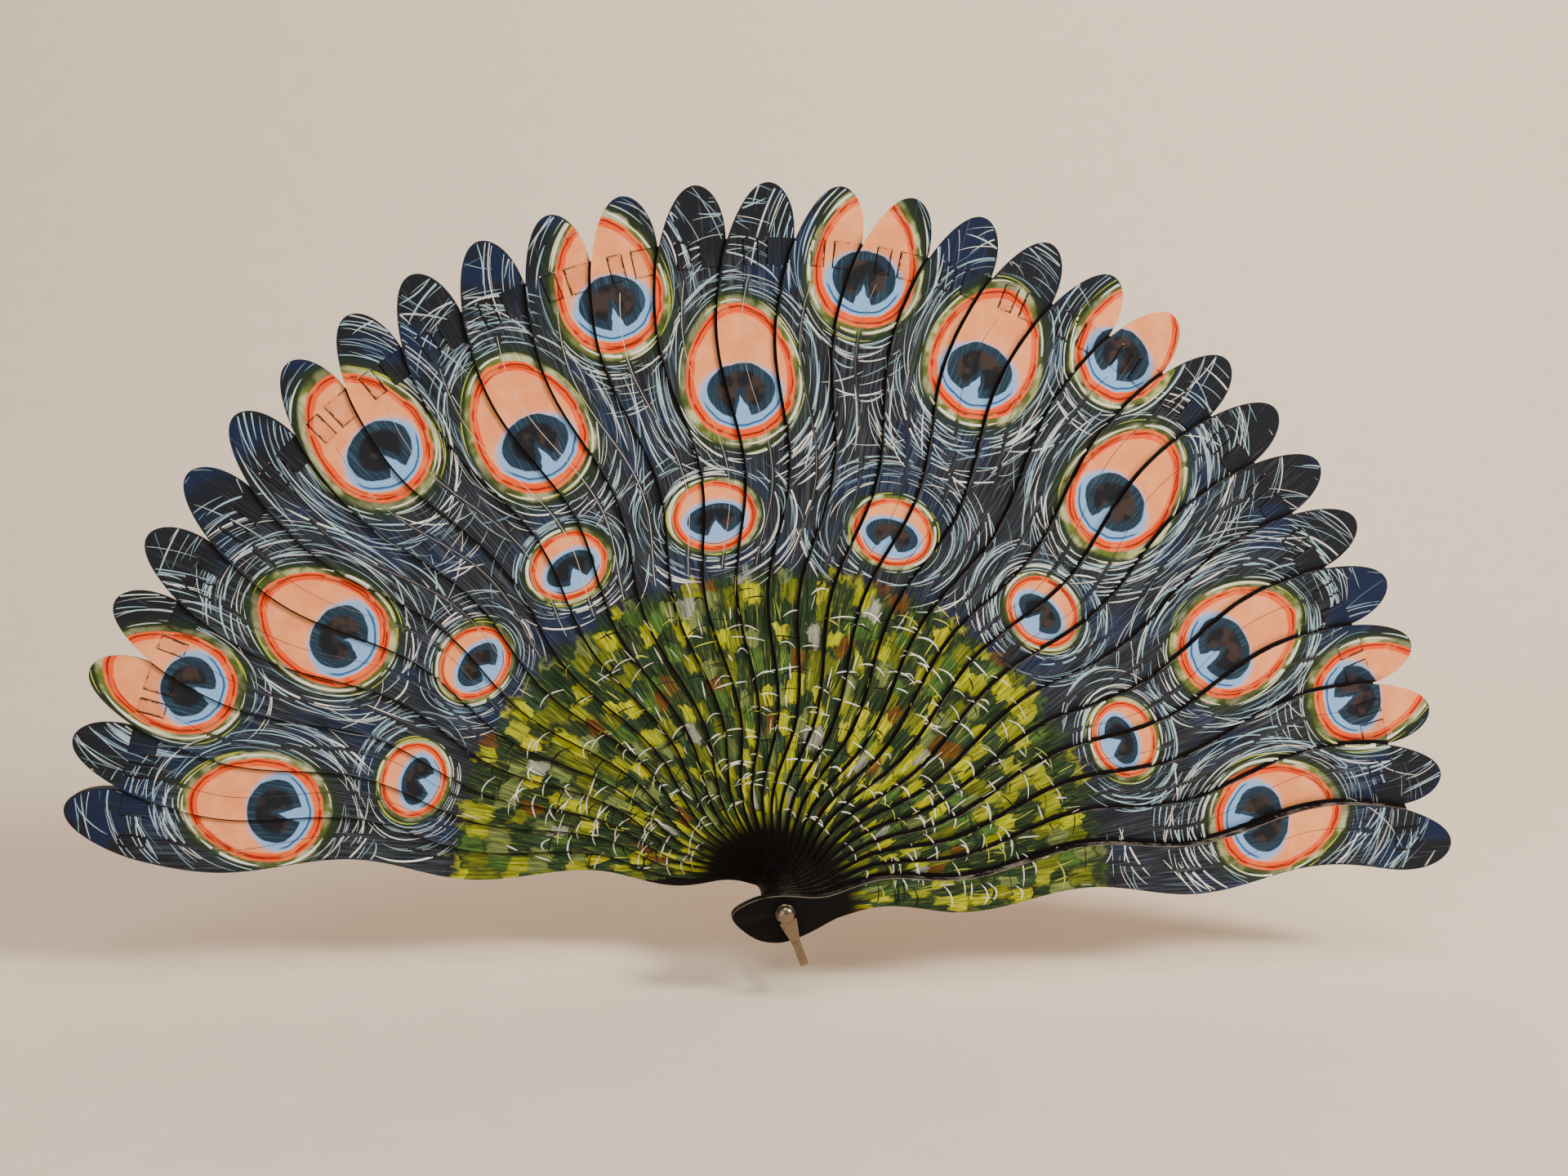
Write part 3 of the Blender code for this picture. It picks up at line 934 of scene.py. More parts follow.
        low = calc("ADD", out, drop)
        pool_low = calc("ADD", low, calc("MULTIPLY_ADD", tall, 0.06, 0.04))
        pool_high = calc("MULTIPLY_ADD", tall, -0.10, 0.60)
        pool = self.length(shader, calc("DIVIDE", side, 0.79),
                           calc("DIVIDE", pool_low, pool_high))
        inside = step(radius, 0.86, 0.83)
        colour = shader.mix(calc("MULTIPLY", step(pool, 1.12, 0.90), inside), colour, eye.blue)
        line = calc("MULTIPLY", shader.band(radius, 0.775, 0.805, 0.010),
                    step(out, -0.36, -0.48))
        colour = shader.mix(line, colour, eye.blue_line)
        colour = self.pupil(shader, colour, (side, low, tall), patchy, streak)
        return colour, calc("MULTIPLY", step(radius, 1.13, 1.08), 0.4)

    def pupil(self, shader: Shader, colour: object, place: tuple[object, object, object],
              patchy: object, streak: object) -> Socket:
        """Lay the heart-shaped pupil: an ellipse with a wedge cut in from above or below.

        Args:
            shader: the material in the making.
            colour: the colour under the pupil.
            place: sideways place, place above the pupil's middle, and 1 in a tall eye.
            patchy: noise in patches.
            streak: noise along the blades.

        Returns:
            The colour with the pupil laid over it.
        """
        eye, step, calc = self.eye, shader.step, shader.math
        side, low, tall = place
        wide = calc("MULTIPLY_ADD", tall, -0.03, 0.66)
        high = calc("MULTIPLY_ADD", tall, -0.06, 0.46)
        pupil = self.length(shader, calc("DIVIDE", side, wide), calc("DIVIDE", low, high))
        aside = calc("ABSOLUTE", calc("MULTIPLY_ADD", patchy, 0.2, calc("SUBTRACT", side, 0.10)))
        widening = calc("MULTIPLY_ADD", tall, -0.12, 0.64)
        start = calc("MULTIPLY_ADD", tall, -0.06, -0.02)
        wedge = calc("SUBTRACT", calc("MULTIPLY", calc("SUBTRACT", start, low), widening), aside)
        within = calc("MULTIPLY", step(pupil, 1.02, 0.98), step(wedge, 0.012, -0.012))
        navy = shader.mix(step(streak, 0.45, 0.70), eye.pupil, eye.pupil_light)
        colour = shader.mix(within, colour, navy)
        heart = calc("MULTIPLY", step(pupil, 0.78, 0.62), step(wedge, -0.05, -0.12))
        core = shader.mix(step(patchy, 0.48, 0.60), eye.core, eye.core_light)
        return shader.mix(calc("MULTIPLY", heart, within), colour, core)

    @staticmethod
    def length(shader: Shader, first: object, second: object) -> Socket:
        """Length of the vector made by two numbers."""
        square = shader.math("MULTIPLY", second, second)
        return shader.math("SQRT", shader.math("MULTIPLY_ADD", first, first, square))

    def paint_edge_and_shadow(self, shader: Shader, colour: object, shown: object, turn: object,
                      reach: object, streak: object) -> Socket:
        """Along the next blade's edge: a black line, partly unpainted ground and partly painted
        shadow, a painted shade beside it, and dark wood, as painted shade, where it covered.

        The line narrows from about 1.4 mm on the right to 0.7 mm on the left, as its painted
        shadow is wider on the fan's right.

        Args:
            shader: the material in the making.
            colour: the colour so far.
            shown: millimetres from the next blade's edge.
            turn: direction from the rivet.
            reach: distance from the rivet.
            streak: noise along the blades.

        Returns:
            The colour with its edge.
        """
        # Painted shadow: the line and the shade beside it widen towards the fan's right.
        widening = shader.math("MULTIPLY", shown, shader.math("MULTIPLY_ADD", turn, 0.28, 0.85))
        ragged = shader.math("MULTIPLY_ADD", streak, -0.8, widening)
        # Painted shade: within about 3.4 mm of the next blade's edge the paint darkens by up to 42
        # percent.
        dim = shader.math("MULTIPLY_ADD", shader.step(ragged, 3.4, 0.4), -0.42, 1.0)
        colour = shader.mix(shader.step(ragged, 1.00, 0.60), shader.shade(colour, dim),
                            self.gap_line_and_shadow)
        # Where the next blade covered, the wood is dark: painted shade, as it is only seen down
        # the slits.
        covered = shader.math("MULTIPLY", shader.step(ragged, -1.2, -1.8),
                              shader.step(reach, 0.0, 0.01))
        return shader.mix(covered, colour, self.shaded_bare_wood)

    @staticmethod
    def weave(shader: Shader, turn: object, reach: object) -> Socket:
        """A ribbon's plain weave: two crossed sine waves, one rib every half millimetre."""
        across = shader.math("SINE", shader.math("MULTIPLY", turn, 2600.0))
        along = shader.math("SINE", shader.math("MULTIPLY", reach, 2900.0))
        return shader.math("MULTIPLY", across, along)


@dataclass(frozen=True)
class BareWood:
    """Planed sandalwood: pale, with fine darker grain along the blade."""

    name: str
    light: Colour = (0.560, 0.380, 0.210)
    dark: Colour = (0.330, 0.195, 0.095)
    rough: float = 0.58

    def build(self) -> bpy.types.Material:
        """Mix the grain from the direction and the distance from the rivet."""
        shader = Shader(self.name)
        turn, reach, _ = shader.place("fan_place")
        fine = shader.streaks(turn, reach, (420.0, 7.0), 5.0, 0.65)
        broad = shader.streaks(turn, reach, (60.0, 3.0))
        grain = shader.math("MULTIPLY_ADD", fine, 0.65, shader.math("MULTIPLY", broad, 0.35))
        shader.bump(fine, 0.4, 0.0001)
        return shader.finish(shader.mix(shader.step(grain, 0.36, 0.66), self.light, self.dark),
                             shader.math("MULTIPLY_ADD", grain, 0.2, self.rough - 0.1))


@dataclass(frozen=True)
class EdgePaint:
    """Sawn edges, stained dark and worn through to the wood in places, with a painted highlight
    along the front guard's rim.

    Attributes:
        name: the material's name.
        stain: colour of the stain.
        worn: colour of the wood where the stain wore off, also used for the painted highlight.
        rim: Y of a front face along whose rim a pale line is painted, partly wear and partly
            painted highlight, if any.
    """

    name: str
    stain: Colour = (0.009, 0.007, 0.006)
    worn: Colour = (0.210, 0.170, 0.135)
    rim: float | None = None

    def build(self) -> bpy.types.Material:
        """Mix stain and worn wood by a patchy noise."""
        shader = Shader(self.name)
        spots = shader.object_place()
        patches = shader.noise(spots, 90.0, 4.0, 0.7)
        fine = shader.noise(spots, 900.0, 3.0)
        worn = shader.math("MULTIPLY_ADD", fine, 0.35, patches)
        _, reach, _ = shader.place("fan_place")
        wear = shader.math("MULTIPLY_ADD", shader.step(reach, 0.12, 0.30), 0.8, 0.2)
        wear_and_highlight = shader.math("MULTIPLY", shader.step(worn, 0.62, 0.82), wear)
        # Painted highlight: a pale, broken line along the front guard's front rim, standing in for
        # the edge's highlight as well as wear.
        if self.rim is not None:
            _, depth, _ = shader.split(spots)
            rim = shader.step(depth, self.rim + 0.0009, self.rim + 0.0005)
            rim = shader.math("MULTIPLY", rim, shader.step(worn, 0.45, 0.62))
            wear_and_highlight = shader.math("MAXIMUM", wear_and_highlight, rim)
        shader.bump(fine, 0.3, 0.0001)
        return shader.finish(shader.mix(wear_and_highlight, self.stain, self.worn),
                             shader.math("MULTIPLY_ADD", fine, 0.3, 0.35))


@dataclass(frozen=True)
class PlainPaint:
    """One pot of thick paint, for the raised strokes."""

    name: str
    colour: Colour
    rough: float = 0.42

    def build(self) -> bpy.types.Material:
        """A paint of one colour: its body and shine come from the strokes' relief."""
        return Shader(self.name).finish(self.colour, self.rough)


@dataclass(frozen=True)
class DarkCloth:
    """The unpainted ribbon: near-black woven cloth."""

    name: str
    colour: Colour = (0.012, 0.012, 0.018)

    def build(self) -> bpy.types.Material:
        """Cloth with a plain weave in bump and a slight change of tone."""
        shader = Shader(self.name)
        turn, reach, _ = shader.place("fan_place")
        weave = PaintedFront.weave(shader, turn, reach)
        tone = shader.math("MULTIPLY_ADD", weave, 0.25, 0.5)
        colour = shader.mix(tone, self.colour, tuple(3.0 * c for c in self.colour))
        shader.bump(weave, 0.5, 0.0001)
        return shader.finish(colour, 0.8)


@dataclass(frozen=True)
class Nickel:
    """Polished nickel plate, a little dulled by handling."""

    name: str
    colour: Colour = (0.215, 0.165, 0.108)
    tarnish: Colour = (0.145, 0.105, 0.065)

    def build(self) -> bpy.types.Material:
        """Metal whose colour and roughness vary with fine scratches and smears."""
        shader = Shader(self.name)
        spots = shader.object_place()
        smear = shader.noise(spots, 350.0, 3.0)
        shader.put(shader.surface.inputs["Metallic"], 1.0)
        shader.put(shader.surface.inputs["Specular IOR Level"], 0.5)
        shader.bump(shader.noise(spots, 2600.0, 3.0, 0.7), 0.12, 0.0001)
        return shader.finish(shader.mix(shader.step(smear, 0.52, 0.75), self.colour, self.tarnish),
                             shader.math("MULTIPLY_ADD", smear, 0.25, 0.16))


# ---- Blades ----
class Side(IntEnum):
    """The finishes of one blade, in the order of its material slots."""

    FRONT = 0
    BACK = 1
    EDGE = 2
    SLIT = 3


@dataclass
class Blades:
    """The thirty wooden blades, as plates with real slits, slots and rivet holes.

    Each blade is a grid of cells. The cells of the slit, of the slots and of the rivet
    hole are numbered from the left edge, and are left out.

    Attributes:
        foot_from: where the foot's closer rows begin, as a share of the length.
        hole_cells: the first cell of the rivet hole, and the first cell past it.
        slot_cells: the slots' cells on a blade with two, and on a blade with three.
        side_cells: cells at each side whose walls are outer edges.
        end_cells: rows of cells at each end whose walls are outer edges.
        reaches: how far the columns bend back beyond the slit, the slots and the hole,
            as shares of the length.
        hole_block: half side of the square that is pushed out to the rivet hole's circle.
        hole_spread: how far from the rivet the push fades out.
        materials: the finishes, and last the front guard's worn edge with its painted highlight.
    """

    painting: Painting
    row_pitch: float = 0.0014
    foot_rows: int = 10
    foot_from: float = -0.018
    tip_rows: int = 18
    block_rows: int = 3
    columns: int = 17
    slit_cell: int = 6
    hole_cells: tuple[int, int] = (7, 10)
    slot_cells: tuple[tuple[int, ...], ...] = ((3, 11), (3, 8, 11))
    side_cells: int = 3
    end_cells: int = 5
    reaches: tuple[float, float, float] = (0.012, 0.010, 0.022)
    hole_radius: float = 0.0017
    hole_block: float = 0.0012
    hole_spread: float = 0.0036
    edge_round: float = 0.00011
    materials: list[bpy.types.Material] = field(default_factory=list)

    def dress(self) -> None:
        """Make the finishes of all blades, and the front guard's own edge."""
        self.materials = [
            PaintedFront("painted_front").build(),
            BareWood("bare_back").build(),
            EdgePaint("stained_edge").build(),
            # The slit walls have the wood's grain in much darker colours: painted shade inside the
            # narrow slits.
            BareWood("shaded_slit_wall", light=(0.20, 0.16, 0.12), dark=(0.09, 0.07, 0.05)).build(),
            # The front guard's edge: worn, with a painted highlight along its front rim.
            EdgePaint("guard_edge", rim=self.painting.layout.faces(-1)[0]).build(),
        ]

    def rows(self, foot: Foot, slot_radius: float) -> np.ndarray:
        """Shares of the length where a blade's grid has rows.

        The rows are evenly spaced between the key places, and close up towards the tip
        and the foot's end as a cosine does.

        Args:
            foot: which foot the blade has.
            slot_radius: the slots' distance from the rivet.

        Returns:
            The rows' places, rising.
        """
        shape, length = self.painting.shape, self.painting.layout.length
        block = self.hole_block / length
        slot_low = slot_radius - shape.slot_half_reach
        slot_high = slot_radius + shape.slot_half_reach
        start, end = shape.foot_end(foot) + 0.0001, 0.99995
        keys = [self.foot_from, -block, block, shape.slit_from, shape.slit_to, slot_low,
                slot_high]
        turn = np.linspace(0.0, math.pi / 2.0, self.foot_rows, endpoint=False)
        parts = [start + (self.foot_from - start) * (1.0 - np.cos(turn))]
        for low, high in zip(keys[:-1], keys[1:]):
            count = max(1, round((high - low) * length / self.row_pitch))
            if high == block:
                count = self.block_rows
            parts.append(np.linspace(low, high, count, endpoint=False))
        turn = np.linspace(0.0, math.pi / 2.0, self.tip_rows)
        parts.append(slot_high + (end - slot_high) * np.sin(turn))
        return np.concatenate(parts)

    def grid(self, index: int) -> tuple[np.ndarray, np.ndarray, np.ndarray]:
        """Sideways places, distances and kept cells of one blade's grid, in metres.

        Each row runs in even steps from the left edge to the right edge. Near the slit,
        the slots and the rivet hole, some columns move to their edges, and the ones
        between are spaced evenly again. A weight blends each such row with the even one.

        Args:
            index: which blade.

        Returns:
            (side, along, kept): two arrays of rows and columns, and one of cells.
        """
        layout, shape = self.painting.layout, self.painting.shape
        foot = self.painting.foot(index)
        offsets, slot_radius = shape.slots(index, layout.last)
        share = self.rows(foot, slot_radius)
        left, right = shape.edges(share, foot)
        slit = shape.slit(share)
        slot_low = slot_radius - shape.slot_half_reach
        slot_high = slot_radius + shape.slot_half_reach
        block = self.hole_block / layout.length
        first, past = self.hole_cells
        slot_cells = self.slot_cells[len(offsets) - 2]

        slit_edges = {self.slit_cell: slit - shape.slit_half,
                      self.slit_cell + 1: slit + shape.slit_half}
        slot_edges: dict[int, np.ndarray] = {}
        for cell, offset in zip(slot_cells, offsets):
            middle = share * math.tan(offset)
            slot_edges[cell] = middle - shape.slot_half_width
            slot_edges[cell + 1] = middle + shape.slot_half_width
        hole_edges = {first: np.full_like(share, -block), past: np.full_like(share, block)}
        near_slot = self.near(share, slot_low, slot_high, self.reaches[1])
        near_hole = self.near(share, -block, block, self.reaches[2])
        near_slit = self.near(share, shape.slit_from, shape.slit_to, self.reaches[0]) \
            * (1.0 - near_slot)

        spread = np.arange(self.columns + 1)
        even = left[:, None] + (right - left)[:, None] * spread / self.columns
        side = even * np.clip(1.0 - near_slit - near_slot - near_hole, 0.0, 1.0)[:, None]
        for anchors, weight in ((slit_edges, near_slit), (slot_edges, near_slot),
                                (hole_edges, near_hole)):
            stops = [0, *sorted(anchors), self.columns]
            values = np.column_stack([left, *[anchors[n] for n in sorted(anchors)], right])
            share_of = np.array([np.interp(spread, stops, row) for row in np.eye(len(stops))])
            side += values @ share_of * weight[:, None]

        middle = (share[1:] + share[:-1]) / 2.0
        kept = np.ones((len(share) - 1, self.columns), bool)
        kept[(middle > shape.slit_from) & (middle < shape.slit_to), self.slit_cell] = False
        for cell in slot_cells:
            kept[(middle > slot_low) & (middle < slot_high), cell] = False
        kept[np.abs(middle) < block, first:past] = False
        along = np.repeat(share[:, None], self.columns + 1, axis=1)
        side, along = self.round_hole(side * layout.length, along * layout.length)
        return side, along, kept

    @staticmethod
    def near(share: np.ndarray, low: float, high: float, reach: float) -> np.ndarray:
        """1 between low and high, falling to 0 over the reach on either side."""
        return ease(1.0 - np.maximum(low - share, share - high) / reach)

    def round_hole(self, side: np.ndarray, along: np.ndarray) -> tuple[np.ndarray, np.ndarray]:
        """Push the square block round the rivet out to a circle, fading with distance.

        The square's distance is the larger of the two coordinates, the circle's is the
        vector's length, and points between them are mixed.

        Args:
            side: sideways places, in metres.
            along: distances along the blade, in metres.

        Returns:
            The places after the push.
        """
        square = np.maximum(np.abs(side), np.abs(along))
        away = np.maximum(np.hypot(side, along), 1e-9)
        weight = np.clip((self.hole_spread - square) / (self.hole_spread - self.hole_block), 0, 1)
        target = square + (self.hole_radius - self.hole_block) * weight
        factor = 1.0 + (target / away - 1.0) * weight
        return side * factor, along * factor

    def plate(self, index: int) -> Surface:
        """The closed plate of one blade: front, back and a wall round every kept region.

        The back's points are the front's, moved along Y, and follow them in the list. A
        cell's side gets a wall where the cell beyond it isn't kept.

        Args:
            index: which blade.

        Returns:
            The plate, with a Side for each face.
        """
        layout = self.painting.layout
        side, along, kept = self.grid(index)
        flat = layout.to_world(index, side, along)
        rows, columns = side.shape
        layers = [np.stack([flat[..., 0], np.full(side.shape, depth), flat[..., 1]], -1)
                  for depth in layout.faces(index)]
        points = np.concatenate([layer.reshape(-1, 3) for layer in layers])
        ids = np.arange(rows * columns).reshape(rows, columns)
        shift = rows * columns
        a, b, c, d = ids[:-1, :-1], ids[:-1, 1:], ids[1:, 1:], ids[1:, :-1]
        top = np.stack([a, b, c, d], -1)[kept]
        bottom = np.stack([d, c, b, a], -1)[kept] + shift
        padded = np.pad(kept, 1)
        here = padded[1:-1, 1:-1]
        walls, kinds = [], []

        def wall(start: np.ndarray, end: np.ndarray, where: np.ndarray, inner: np.ndarray) -> None:
            """Add walls whose front edge runs from start to end, seen from outside."""
            walls.append(np.stack([start, end, end + shift, start + shift], -1)[where])
            kinds.append(np.where(inner[where], Side.SLIT, Side.EDGE))

        row, column = np.indices(here.shape)
        inside = (column >= self.side_cells) & (column < columns - 1 - self.side_cells)
        wall(a, d, here & ~padded[1:-1, :-2], inside)
        wall(c, b, here & ~padded[1:-1, 2:], inside)
        wall(b, a, here & ~padded[:-2, 1:-1], inside & (row > self.end_cells))
        wall(d, c, here & ~padded[2:, 1:-1], inside & (row < rows - self.end_cells))
        faces = [np.full(len(top), Side.FRONT), np.full(len(bottom), Side.BACK)]
        return Surface(points, np.concatenate([top, bottom, *walls]),
                       np.concatenate([*faces, *kinds]))

    def build(self) -> None:
        """Make every blade, mark where it lies in the painting and let it ride."""
        layout = self.painting.layout
        for index, name in enumerate(layout.names):
            finishes = self.materials[:len(Side)]
            if index == layout.last:
                finishes[Side.EDGE] = self.materials[-1]
            piece = self.plate(index).make(f"{name}_blade", finishes, False)
            bevel = piece.modifiers.new("rounded_edges", "BEVEL")
            bevel.width = self.edge_round
            bevel.segments = 2
            bevel.material = Side.EDGE
            bevel.limit_method = "ANGLE"
            bevel.angle_limit = math.radians(60.0)
            bevel.use_clamp_overlap = True
            self.painting.mark(piece, index)
            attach(piece, layout.body(index))
            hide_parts(name)
            LOG.info("blade %s: %d faces", name, len(piece.data.polygons))


# ---- Raised brush strokes ----
class Pot(Enum):
    """The pots of paint that the raised strokes are made with."""

    PALE_BLUE = (0.310, 0.500, 0.590)
    MIST = (0.480, 0.560, 0.570)
    OFF_WHITE = (0.800, 0.790, 0.720)
    STEEL = (0.130, 0.200, 0.260)
    CREAM = (0.720, 0.690, 0.500)
    LIME = (0.400, 0.430, 0.050)
    BLACK = (0.008, 0.008, 0.008)
    RUST = (0.230, 0.022, 0.008)


@dataclass
class StrokeSet:
    """Strokes gathered before they are cut to the blades.

    Attributes:
        stations: how many stations each stroke has.
        paths: lists of (x, z) stations, one array (strokes, stations, 2) for each batch.
        widths: half widths, one array (strokes,) for each batch.
        pots: paint numbers, one array (strokes,) for each batch.
    """

    stations: int = 25
    paths: list[np.ndarray] = field(default_factory=list)
    widths: list[np.ndarray] = field(default_factory=list)
    pots: list[np.ndarray] = field(default_factory=list)

    def add(self, paths: np.ndarray, widths: np.ndarray, pots: np.ndarray) -> None:
        """Gather one batch of strokes."""
        self.paths.append(paths)
        self.widths.append(widths)
        self.pots.append(pots)


@dataclass(frozen=True)
class Accent:
    """One kind of stroke on an eye's rings.

    Attributes:
        rho: its distance from the eye's middle, in the eye's own units.
        count: how many lie round each eye.
        sweep: least and most radians that it runs through.
        width: least and most half width, in metres.
        chances: how often each pot is used.
    """

    rho: float
    count: int
    sweep: tuple[float, float]
    width: tuple[float, float]
    chances: dict[Pot, float]


ACCENTS: tuple[Accent, ...] = (
    Accent(1.085, 4, (0.7, 1.5), (0.00045, 0.00080), {Pot.CREAM: 0.6, Pot.OFF_WHITE: 0.4}),
    Accent(1.12, 4, (0.4, 1.0), (0.00025, 0.00045), {Pot.LIME: 0.7, Pot.CREAM: 0.3}),
    Accent(0.915, 3, (0.6, 1.5), (0.00018, 0.00030), {Pot.RUST: 1.0}),
    Accent(1.19, 4, (0.4, 1.1), (0.00020, 0.00038), {Pot.MIST: 0.5, Pot.LIME: 0.5}),
)


@dataclass
class Brushwork:
    """Thousands of thin raised strokes: barbs round the eyes, arcs and ticks below.

    A stroke is a path in the open fan's plane. It is cut where one blade passes behind
    the next, and each run rides on its own blade as a low bead of paint.

    Attributes:
        relief: height of a bead's ridge above the blade, in metres.
        sunk: how far a bead's sides reach into the blade, in metres.
        margin: how far strokes keep from edges and slits, in metres.
        barbs, ticks: how many strokes are drawn of either kind.
        greens: share of the length where the greens end and the barbs begin.
        directions: the open fan's first and last direction for strokes, in radians.
    """

    painting: Painting
    ribbon: "Ribbon"
    seed: int = 7
    run_stations: int = 8
    relief: float = 0.00005
    sunk: float = 0.00002
    margin: float = 0.00022
    barbs: int = 3500
    ticks: int = 330
    greens: float = 0.475
    directions: tuple[float, float] = (math.radians(1.0), math.radians(174.0))
    materials: list[bpy.types.Material] = field(default_factory=list)
    strokes: StrokeSet = field(default_factory=StrokeSet)

    def __post_init__(self) -> None:
        """Start the seeded generator that all random choices come from."""
        self.random = np.random.default_rng(self.seed)

    def dress(self) -> None:
        """Make one plain paint for each pot."""
        self.materials = [PlainPaint(f"stroke_{pot.name.lower()}", pot.value).build()
                          for pot in Pot]

    def pick(self, count: int, chances: dict[Pot, float]) -> np.ndarray:
        """Random pots, as numbers, by their chances."""
        pots = list(Pot)
        numbers = [pots.index(pot) for pot in chances]
        share = np.array(list(chances.values()))
        return self.random.choice(numbers, count, p=share / share.sum())

    def spread(self, low: float, high: float, count: int) -> np.ndarray:
        """Even random numbers as a column."""
        return self.random.uniform(low, high, count)[:, None]

    def flowing_barbs(self) -> None:
        """Strokes all over the dark ground, each an arc round its nearest eye.

        The middles lie evenly between the greens and the tips. Each stroke keeps its
        middle's distance from the eye, in the eye's own units, while the direction round
        the eye runs to both sides; a drift and a bend change the distance a little, and
        one stroke in eleven drifts enough to cross the others. Below an eye the strokes
        are shorter and whiter, and far from an eye and near the tips fewer are kept.
        """
        count = self.barbs
        t = np.linspace(-1.0, 1.0, self.strokes.stations)[None, :]
        length = self.painting.layout.length
        far = np.sqrt(self.random.uniform(self.greens ** 2, 1.01, count)) * length
        ray = self.random.uniform(math.radians(0.5), math.radians(175.5), count)
        middles = np.stack([far * np.cos(ray), far * np.sin(ray)], -1)
        number, rho = self.painting.nearest_eye(middles)
        local = self.painting.eye_places(middles)[np.arange(count), number]
        size = self.painting.sizes[number]
        turn = np.arctan2(local[:, 0], local[:, 1])
        below = np.cos(turn) < -0.5
        reach = self.random.uniform(0.0055, 0.0155, count) * np.where(below, 0.80, 1.0)
        half = reach / (rho * np.sqrt(size[:, 0] * size[:, 1]))
        crossing = self.random.random(count) < 0.09
        drift = self.random.normal(0.0, 0.030, count) \
            + crossing * self.random.normal(0, 0.15, count)
        bend = self.random.normal(0.0, 0.02, count)
        turns = turn[:, None] + half[:, None] * t
        rhos = rho[:, None] * (1.0 + drift[:, None] * t + bend[:, None] * t * t)
        places = np.stack([rhos * np.sin(turns), rhos * np.cos(turns)], -1) * size[:, None]
        paths = self.painting.centres[number][:, None] \
            + np.einsum("nsa,nac->nsc", places, self.painting.frames[number])
        widths = 0.00013 + 0.00036 * self.random.random(count) ** 2.2
        pots = self.pick(count, {Pot.PALE_BLUE: 0.46, Pot.MIST: 0.24, Pot.OFF_WHITE: 0.11,
                                 Pot.STEEL: 0.19})
        white = self.pick(count, {Pot.OFF_WHITE: 0.6, Pot.MIST: 0.4})
        pots = np.where(below & (self.random.random(count) < 0.5), white, pots)
        tips = np.where(far > 0.935 * length, 0.60, 1.0)
        near = self.random.random(count) < np.clip(2.5 - 0.8 * rho, 0.55, 1.0) * tips
        keep = (rhos.min(axis=1) > 1.17) & near
        self.strokes.add(paths[keep], widths[keep], pots[keep])

    def ring_accents(self) -> None:
        """Loaded strokes on the rings: cream and lime outside, rust on the orange."""
        t = np.linspace(0.0, 1.0, self.strokes.stations)[None, :]
        for number in range(len(self.painting.eyes)):
            for kind in ACCENTS:
                count = kind.count
                start = self.spread(0.0, 2.0 * math.pi, count)
                turn = start + self.spread(*kind.sweep, count) * t
                size = kind.rho + self.spread(-0.012, 0.012, count) \
                    + self.spread(-0.03, 0.03, count) * t
                egg = 1.0 - EGG * np.cos(turn) * (self.painting.drops[number] > TALL_DROP)
                local = np.stack([size * egg * np.sin(turn), size * np.cos(turn)], -1) \
                    * self.painting.sizes[number]
                paths = self.painting.centres[number] + local @ self.painting.frames[number]
                widths = self.random.uniform(*kind.width, count)
                self.strokes.add(paths, widths, self.pick(count, kind.chances))

    def scale_arcs(self) -> None:
        """In the greens, short arcs across the blades like the rims of scales.

        An arc bows outwards: its distance from the rivet falls off with the square of the
        way from its middle.
        """
        t = np.linspace(-1.0, 1.0, self.strokes.stations)[None, :]
        length = self.painting.layout.length
        plan = ((230, (0.00022, 0.00044), {Pot.OFF_WHITE: 0.50, Pot.CREAM: 0.35, Pot.LIME: 0.15}),
                (170, (0.00020, 0.00040), {Pot.BLACK: 1.0}))
        for count, width, chances in plan:
            row = np.round(self.random.uniform(4.0, 13.6, count))[:, None]
            reach = row / 30.0 + self.spread(-0.012, 0.012, count)
            middle = self.spread(*self.directions, count)
            half = self.spread(0.0018, 0.0058, count) / (reach * length)
            bow = self.spread(0.000, 0.009, count)
            slant = self.spread(-0.006, 0.006, count)
            far = (reach - bow * t * t + slant * t) * length
            turn = middle + half * t
            paths = np.stack([far * np.cos(turn), far * np.sin(turn)], -1)
            widths = self.random.uniform(*width, count)
            self.strokes.add(paths, widths, self.pick(count, chances))

    def green_ticks(self) -> None:
        """In the greens, tapered strokes along the blades: white, lime and dark."""
        count = self.ticks
        t = np.linspace(0.0, 1.0, self.strokes.stations)[None, :]
        length = self.painting.layout.length
        reach = self.spread(0.16, 0.45, count)
        goes = self.spread(0.010, 0.034, count)
        turn = self.spread(*self.directions, count) + self.spread(-0.02, 0.02, count) * t
        far = (reach + goes * t) * length
        paths = np.stack([far * np.cos(turn), far * np.sin(turn)], -1)
        widths = self.random.uniform(0.00012, 0.00040, count)
        pots = self.pick(count, {Pot.OFF_WHITE: 0.14, Pot.CREAM: 0.10, Pot.LIME: 0.44,
                                 Pot.BLACK: 0.32})
        self.strokes.add(paths, widths, pots)

    def plan(self) -> None:
        """Lay out every kind of stroke, in the order they are painted."""
        self.flowing_barbs()
        self.ring_accents()
        self.scale_arcs()
        self.green_ticks()

